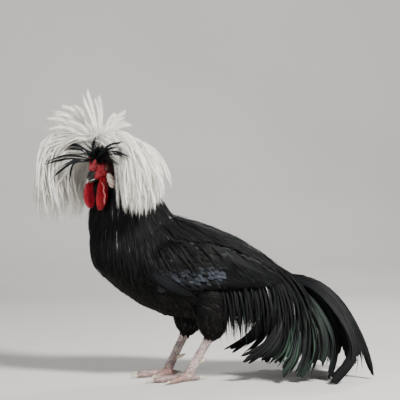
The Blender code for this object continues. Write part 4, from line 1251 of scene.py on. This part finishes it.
# %% Saddle hackles
FRINGE = (  # places on the left side, from under the wing down to a tip
    ((8, -34, 190), (20, -42, 172), (27, -48, 144), (30, -53, 110), (34, -52, 66)),
    ((34, -30, 190), (48, -40, 170), (56, -46, 142), (60, -53, 104), (62, -53, 60)),
    ((62, -24, 192), (78, -36, 172), (86, -44, 142), (88, -54, 106), (88, -56, 66)),
    ((88, -16, 196), (108, -32, 172), (116, -46, 140), (116, -60, 106), (110, -66, 70)),
    ((108, -10, 198), (134, -32, 170), (146, -54, 136), (148, -72, 98), (142, -76, 56)),
    ((126, -6, 192), (156, -30, 168), (176, -56, 136), (186, -76, 96), (186, -84, 50)),
)
HANGING = 420  # feathers in the fringe of each side
SADDLE_SHAPE = (0.5, 0.8, 1, 1, 1, 0.95, 0.85, 0.7, 0.5, 0.3)
for side, name in SIDES:
    x, own, z = at[:, 0], at[:, 1] * side > -1, at[:, 2]
    upper = own & (skin_normal[:, 2] > 0.12) & (x > -34) & (x < 146) & (z > 168)
    roots = at[scatter(upper & (z > 214 - (x - 20) * 0.45), 4.6)]
    out = np.clip(np.abs(roots[:, 1]) / 70, 0, 1)
    heading = np.stack([1.1 - 0.2 * out, side * 0.3 * (1 - out), -0.55 - 0.3 * out], axis=1)
    heading += rng.normal(0, 0.05, heading.shape)
    lengths = rng.uniform(48, 84, len(roots))
    paths, ups = settle(roots, heading, lengths, 10, 0.6, 6.0)
    guides = [curve([(a, -side * b, c) for a, b, c in way], 10) for way in FRINGE]
    hanging = between(guides, rng.uniform(0, len(FRINGE) - 1, HANGING), 8.0)
    hanging = shorter(hanging, rng.uniform(0, 0.12, HANGING), rng.uniform(0.5, 1.0, HANGING) ** 0.8)
    hanging[..., 1] += side * rng.normal(0, 4, (HANGING, 1))
    outwards = facing((0.1, side, 0.2), hanging, 0.25)
    paths, ups = np.concatenate([paths, above_floor(hanging)]), np.concatenate([ups, outwards])
    widths = profile(SADDLE_SHAPE, rng.uniform(2.4, 4.6, len(paths)))
    # painted sheen: green on a few feathers by chance, and a little bluish
    green = np.clip(rng.normal(-0.08, 0.12, len(paths)), 0, 1)
    tint = chances(len(paths), green=green, blue_sheen=0.03)
    on_map = round_body(paths[:, 0])
    piece = feathers("saddle_" + name, paths, ups, widths, 0.4, on_map, tint, cup=0.1)
    kept(piece, GLOSSY, "black_feather", "rump")

# %% [markdown]
# ## Tail
# Long curved sickles and coverts pour down from the rump on both sides, and stiff main
# feathers fold between them like a roof. Their ends are blunt and a little ragged.

# %% Sickles
SICKLES = (  # from the rearmost to the foremost: places on the right side and a width
    (((150, 6, 172), (204, 12, 146), (238, 16, 110), (260, 20, 72), (270, 24, 34)), 22),
    (((150, 17, 173), (194, 33, 163), (234, 44, 128), (265, 54, 72), (285, 62, 11)), 24),
    (((148, 19, 170), (194, 54, 150), (232, 86, 98), (240, 104, 48), (203, 112, 3)), 26),
    (((150, 19, 173), (187, 42, 160), (214, 60, 128), (234, 74, 88), (236, 82, 50)), 24),
    (((148, 16, 164), (186, 40, 140), (213, 56, 95), (220, 66, 50), (209, 70, 10)), 26),
    (((146, 20, 166), (168, 52, 142), (188, 76, 108), (196, 90, 68), (188, 96, 36)), 24),
    (((144, 18, 161), (165, 48, 128), (174, 68, 86), (170, 80, 44), (155, 86, 11)), 26),
    (((140, 19, 162), (152, 50, 126), (154, 72, 86), (146, 84, 44), (127, 88, 15)), 24),
    (((137, 20, 164), (136, 50, 128), (124, 70, 94), (99, 78, 60), (64, 76, 38)), 20),
)
# how much green sheen is painted on each sickle and on the coverts near it
GREEN_SHEEN = (0, 0, 0, 0, 0.1, 0.6, 1.0, 0.7, 0.1)
HOW_FAR = (1.0, 0.9, 0.85, 0.85, 0.9, 1.0, 1.0, 1.0, 0.9)  # how far down its coverts reach
MAIN_TAIL = ((260, 7, 84), (252, 16, 58), (236, 24, 38))
TAIL_HALF = 114.0  # half the width that the tail keeps to
COPIES = (0.52, 0.4, 0.32, 0.28, 0.24)  # the widths of a sickle and its companions
COVERTS = 300
RINGS = 16
BLUNT = 1.6  # how much closer the last rings of a sickle are
place_of_ring = 1 - (1 - np.arange(RINGS) / RINGS) ** BLUNT
COVERT_SHAPE = np.interp(place_of_ring, (0, 0.15, 0.5, 0.8, 1), (0.35, 0.8, 1, 0.75, 0.15))
SICKLE_SHAPE = np.interp(place_of_ring, (0, 0.15, 0.4, 0.88, 0.96, 1), (0.35, 0.75, 1, 1, 0.8, 0.3))
for side, name in SIDES:
    guides = np.array([curve([(x, side * y, z) for x, y, z in way], RINGS, BLUNT) for way, _ in SICKLES])
    paths, widths, tints = [], [], []
    for number, (_, width) in enumerate(SICKLES):
        for share in COPIES:
            drift = np.linspace(0, 1, RINGS + 1)[:, None] * rng.normal(0, 5, 3) * (share < 0.5)
            paths.append(guides[number] + drift)
            widths.append(SICKLE_SHAPE * width * share)
            # each sickle: a chance shade, some of its painted green sheen and a little painted bluish
            # sheen
            tints.append((rng.random(), GREEN_SHEEN[number] * rng.uniform(0, 0.3), 0.04))
    where = rng.uniform(0, len(SICKLES) - 1, COVERTS)
    coverts = between(guides, where, 5.0)
    down = np.interp(where, range(len(SICKLES)), HOW_FAR)
    coverts = shorter(coverts, rng.uniform(0, 0.15, COVERTS), rng.uniform(0.45, 0.97, COVERTS) * down)
    paths = above_floor(np.concatenate([np.array(paths), coverts]), 2.5)
    paths[..., 1] = np.clip(paths[..., 1], -TAIL_HALF, TAIL_HALF)
    widths = np.concatenate([np.array(widths), profile(COVERT_SHAPE, rng.uniform(3.5, 10, COVERTS))])
    # painted green sheen on about a third of the coverts, and a little painted bluish sheen
    green = np.interp(where, range(len(SICKLES)), GREEN_SHEEN)
    green = green * (rng.random(COVERTS) > 0.66) * rng.uniform(0.4, 1, COVERTS)
    tints = np.concatenate([np.array(tints), chances(COVERTS, green=green, blue_sheen=0.08)])
    ups = facing((0.25, side, 0.35), paths, 0.14)
    on_map = round_body(paths[:, 0])
    piece = feathers("tail_" + name + "_sickles", paths, ups, widths, 0.5, on_map, tints, cup=0.05)
    kept(piece, GLOSSY, "black_feather", "tail_" + name)

# %% [markdown]
# The stiff feathers of the tail itself hang between the sickles and mostly hide behind them.
# Three on each side, a little apart, are enough to close the fold.

# %% Main tail
paths, ups = [], []
for side in (-1, 1):
    for k, end in enumerate(curve(MAIN_TAIL, 6)):
        way = [(156, side * (3 + k), 168 - 2 * k), (205, side * (5 + 3 * k), 146 - 5 * k)]
        way.append((end[0] - 3 * (k % 2), side * end[1], end[2]))
        paths.append(curve(way, RINGS, BLUNT))
        ups.append(np.tile((0.1, side, 0.35), (RINGS + 1, 1)))
paths = np.array(paths)
widths = np.tile(SICKLE_SHAPE * 22, (len(paths), 1))
tint = chances(len(paths))
on_map = round_body(paths[:, 0])
main_tail = feathers("tail_main", paths, np.array(ups), widths, 0.6, on_map, tint, cup=0.04)
kept(main_tail, DARK, "black_feather", "tail")

# %% [markdown]
# ## Head
# The wattles, comb and lobes are soft skin with folds and grain. The bill and claws are horn.

# %% Soft parts of the head
WATTLE = wattle_finish()
LOBE = lobe_finish()
for name in ("wattle_left", "wattle_right"):
    piece = fine(name, name + "_skin", 0.6)
    places = spots(piece)
    local = places - places.mean(axis=0)
    line = local @ ahead - 0.5 - 0.9 * np.sin(local[:, 2] * 0.42) - local[:, 2] * 0.04
    crease = np.exp(-((line / 0.8) ** 2)) * np.clip((20 - np.abs(local[:, 2])) / 6, 0, 1)
    valley = np.exp(-(((line + 2.4) / 1.6) ** 2)) + 0.6 * np.exp(-(((line - 2.2) / 1.4) ** 2))
    dots = beaded(places, 2.1) * (1 - crease)
    # the tints mark painted highlights: along the crease's ridge and on the beads
    if name == "wattle_left":
        lifted(piece, 2.0 * crease - 1.3 * valley + 0.12 * dots)
        tinted(piece, crease, dots * 0.15, 0)
    else:
        lifted(piece, 0.45 * dots)
        tinted(piece, 0, dots * 0.8, 0)
    kept(piece, WATTLE, "red_skin", name)
comb = fine("comb", "comb_skin", 0.45, 3)
dots = beaded(spots(comb), 2.4)
lifted(comb, 0.8 * (dots - 0.3))
# painted highlights on the comb's beads
tinted(comb, dots * 0.35, dots * 0.6, 0)
kept(comb, WATTLE, "red_skin", "comb")
for name in ("earlobe_left", "earlobe_right"):
    piece = fine(name, name + "_skin", 0.5)
    places = spots(piece)
    local = (places - places.mean(axis=0)) @ head_matrix
    lifted(piece, 0.5 * np.sin(local[:, 2] * 0.9 + local[:, 0]) + 0.8)
    kept(piece, LOBE, "pale_skin", name)

# %% [markdown]
# Short dark feathers hang from the throat between the wattles. They are the bird's own throat feathers and
# also painted shade: a dark mass that fills the shaded gap between the wattles. Without them the gap would
# show bare skin, so they get a piece of their own.

# %% Throat feathers
# partly painted shade: dark feathers that fill the shaded gap between the wattles
BIB = 110
ahead_by, aside_by = rng.uniform(-24, 4, BIB), rng.uniform(-6, 6, BIB)
throat = on_head(np.stack([ahead_by, aside_by, np.full(BIB, -15.0)], axis=1))
hang = np.array((-0.1, 0, -1.0)) + rng.normal(0, 0.1, (BIB, 3))
hang = hang * rng.uniform(18, 34, (BIB, 1))
paths = throat[:, None] + np.linspace(0, 1, 7)[None, :, None] * hang[:, None]
ups = facing((-0.3, -0.9, 0.1), paths)
widths = profile((0.5, 0.9, 1, 0.9, 0.7, 0.4), rng.uniform(2.2, 3.6, BIB))
bib = feathers("throat_feathers", paths, ups, widths, 0.35, round_body(throat), chances(BIB))
kept(bib, DARK, "black_feather")

# %% [markdown]
# The bill is dark horn that pales at its cutting edge and tip, and the eye has a dark pupil
# in an orange iris. Their numbers are worked out from how far each point is from the edge or
# from the middle of the eye, so no picture is needed.

# %% Bill and eyes
BILL = bill_finish()
for name in ("beak_upper", "beak_lower"):
    piece = fine(name, name + "_horn", 0.4, 4)
    local = in_head(spots(piece))
    pale = np.clip((-local[:, 0] - 41) / 4, 0, 1) * 0.9
    edge = np.clip(1 - np.abs(local[:, 2] + 9.5) / 1.2, 0, 1) * 0.8
    tinted(piece, 0, np.maximum(pale, edge), 0)
    kept(piece, BILL, "bill_horn", name)
EYE = eye_finish()
for side, name in ((-1, "eye_left"), (1, "eye_right")):
    piece = fine(name, name + "_ball", 0.35, 3)
    local = in_head(spots(piece)) - (EYE_AT[0], side * EYE_AT[1], EYE_AT[2])
    far = np.hypot(local[:, 0], local[:, 2])
    tinted(piece, far < 1.7, far < 3.6, 0)
    kept(piece, EYE, "eye", name)

# %% [markdown]
# Claws and spurs are horn too, but pale. They keep the shapes of the solids and need only a
# finer mesh and a grain that follows their growth.

# %% Claws and spurs
HORN = horn_finish()
for name in sorted(cad):
    if name.startswith(("claw", "spur")):
        kept(fine(name, name + "_horn", 0.4, 3), HORN, "pale_horn", name)

# %% [markdown]
# ## Legs
# Broad scutes overlap down the front of each shank and along the top of each toe.

# %% Finish of the scales
def scale_finish():
    """Grey-pink scales with dark edges, flushed on the toes."""
    look = Finish("leg_scales", rough=0.38)
    tone = look.noise(look.place(), 120.0, 3.0)
    flush = look.noise(look.place(), 55.0, 2.0)
    _, length, _ = look.split(look.vane())
    chance, foot, _ = look.attribute("Tint")
    shank = look.mix(tone.above(0.3, 0.7), (0.30, 0.26, 0.26), (0.62, 0.54, 0.50))
    toe = look.mix(flush.above(0.48, 0.62), (0.20, 0.17, 0.17), (0.58, 0.26, 0.19))
    colour = look.mix(foot * 0.8, shank, toe)
    colour = look.mix(chance.above(0.5, 1.0) * 0.5, colour, (0.10, 0.10, 0.11))
    look.set("Base Color", look.mix(length.above(0.45, 0.95), colour, (0.045, 0.038, 0.038)))
    return look.material


# %% Scutes
TOES_BELOW = 16
roots = at[scatter((leg > 0.6) & (at[:, 2] > 3.5) & (skin_normal[:, 2] > -0.6), 2.6)]
down = np.tile((-0.5, 0, -1.0), (len(roots), 1))
toes = roots[:, 2] < TOES_BELOW
left_foot, right_foot = (np.array(LEGS[name][2], float) for _, name in SIDES)
centres = np.where(roots[:, 1:2] < -3, left_foot, right_foot)
down[toes] = unit(roots[toes] - centres[toes]) + (0, 0, -0.15)
lengths = np.where(toes, 3.4, 3.9) * rng.uniform(0.9, 1.1, len(roots))
paths, ups = settle(roots, down, lengths, 3, 0.3, 1.0)
paths = above_floor(paths, 0.4)
tint = chances(len(roots), green=np.clip((30 - roots[:, 2]) / 24, 0, 1))
widths = profile((0.9, 1.0, 0.8), lengths * 0.85)
scales = feathers("leg_scales", paths, ups, widths, 0.5, round_body(roots), tint, cup=0.06)
kept(scales, scale_finish(), "scaled_skin")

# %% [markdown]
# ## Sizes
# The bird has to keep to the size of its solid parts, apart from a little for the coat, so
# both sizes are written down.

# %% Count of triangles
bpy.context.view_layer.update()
shown = [o for o in bpy.data.objects if o.type == "MESH" and not o.hide_render]
print("triangles shown:", sum(len(p.vertices) - 2 for o in shown for p in o.data.polygons))
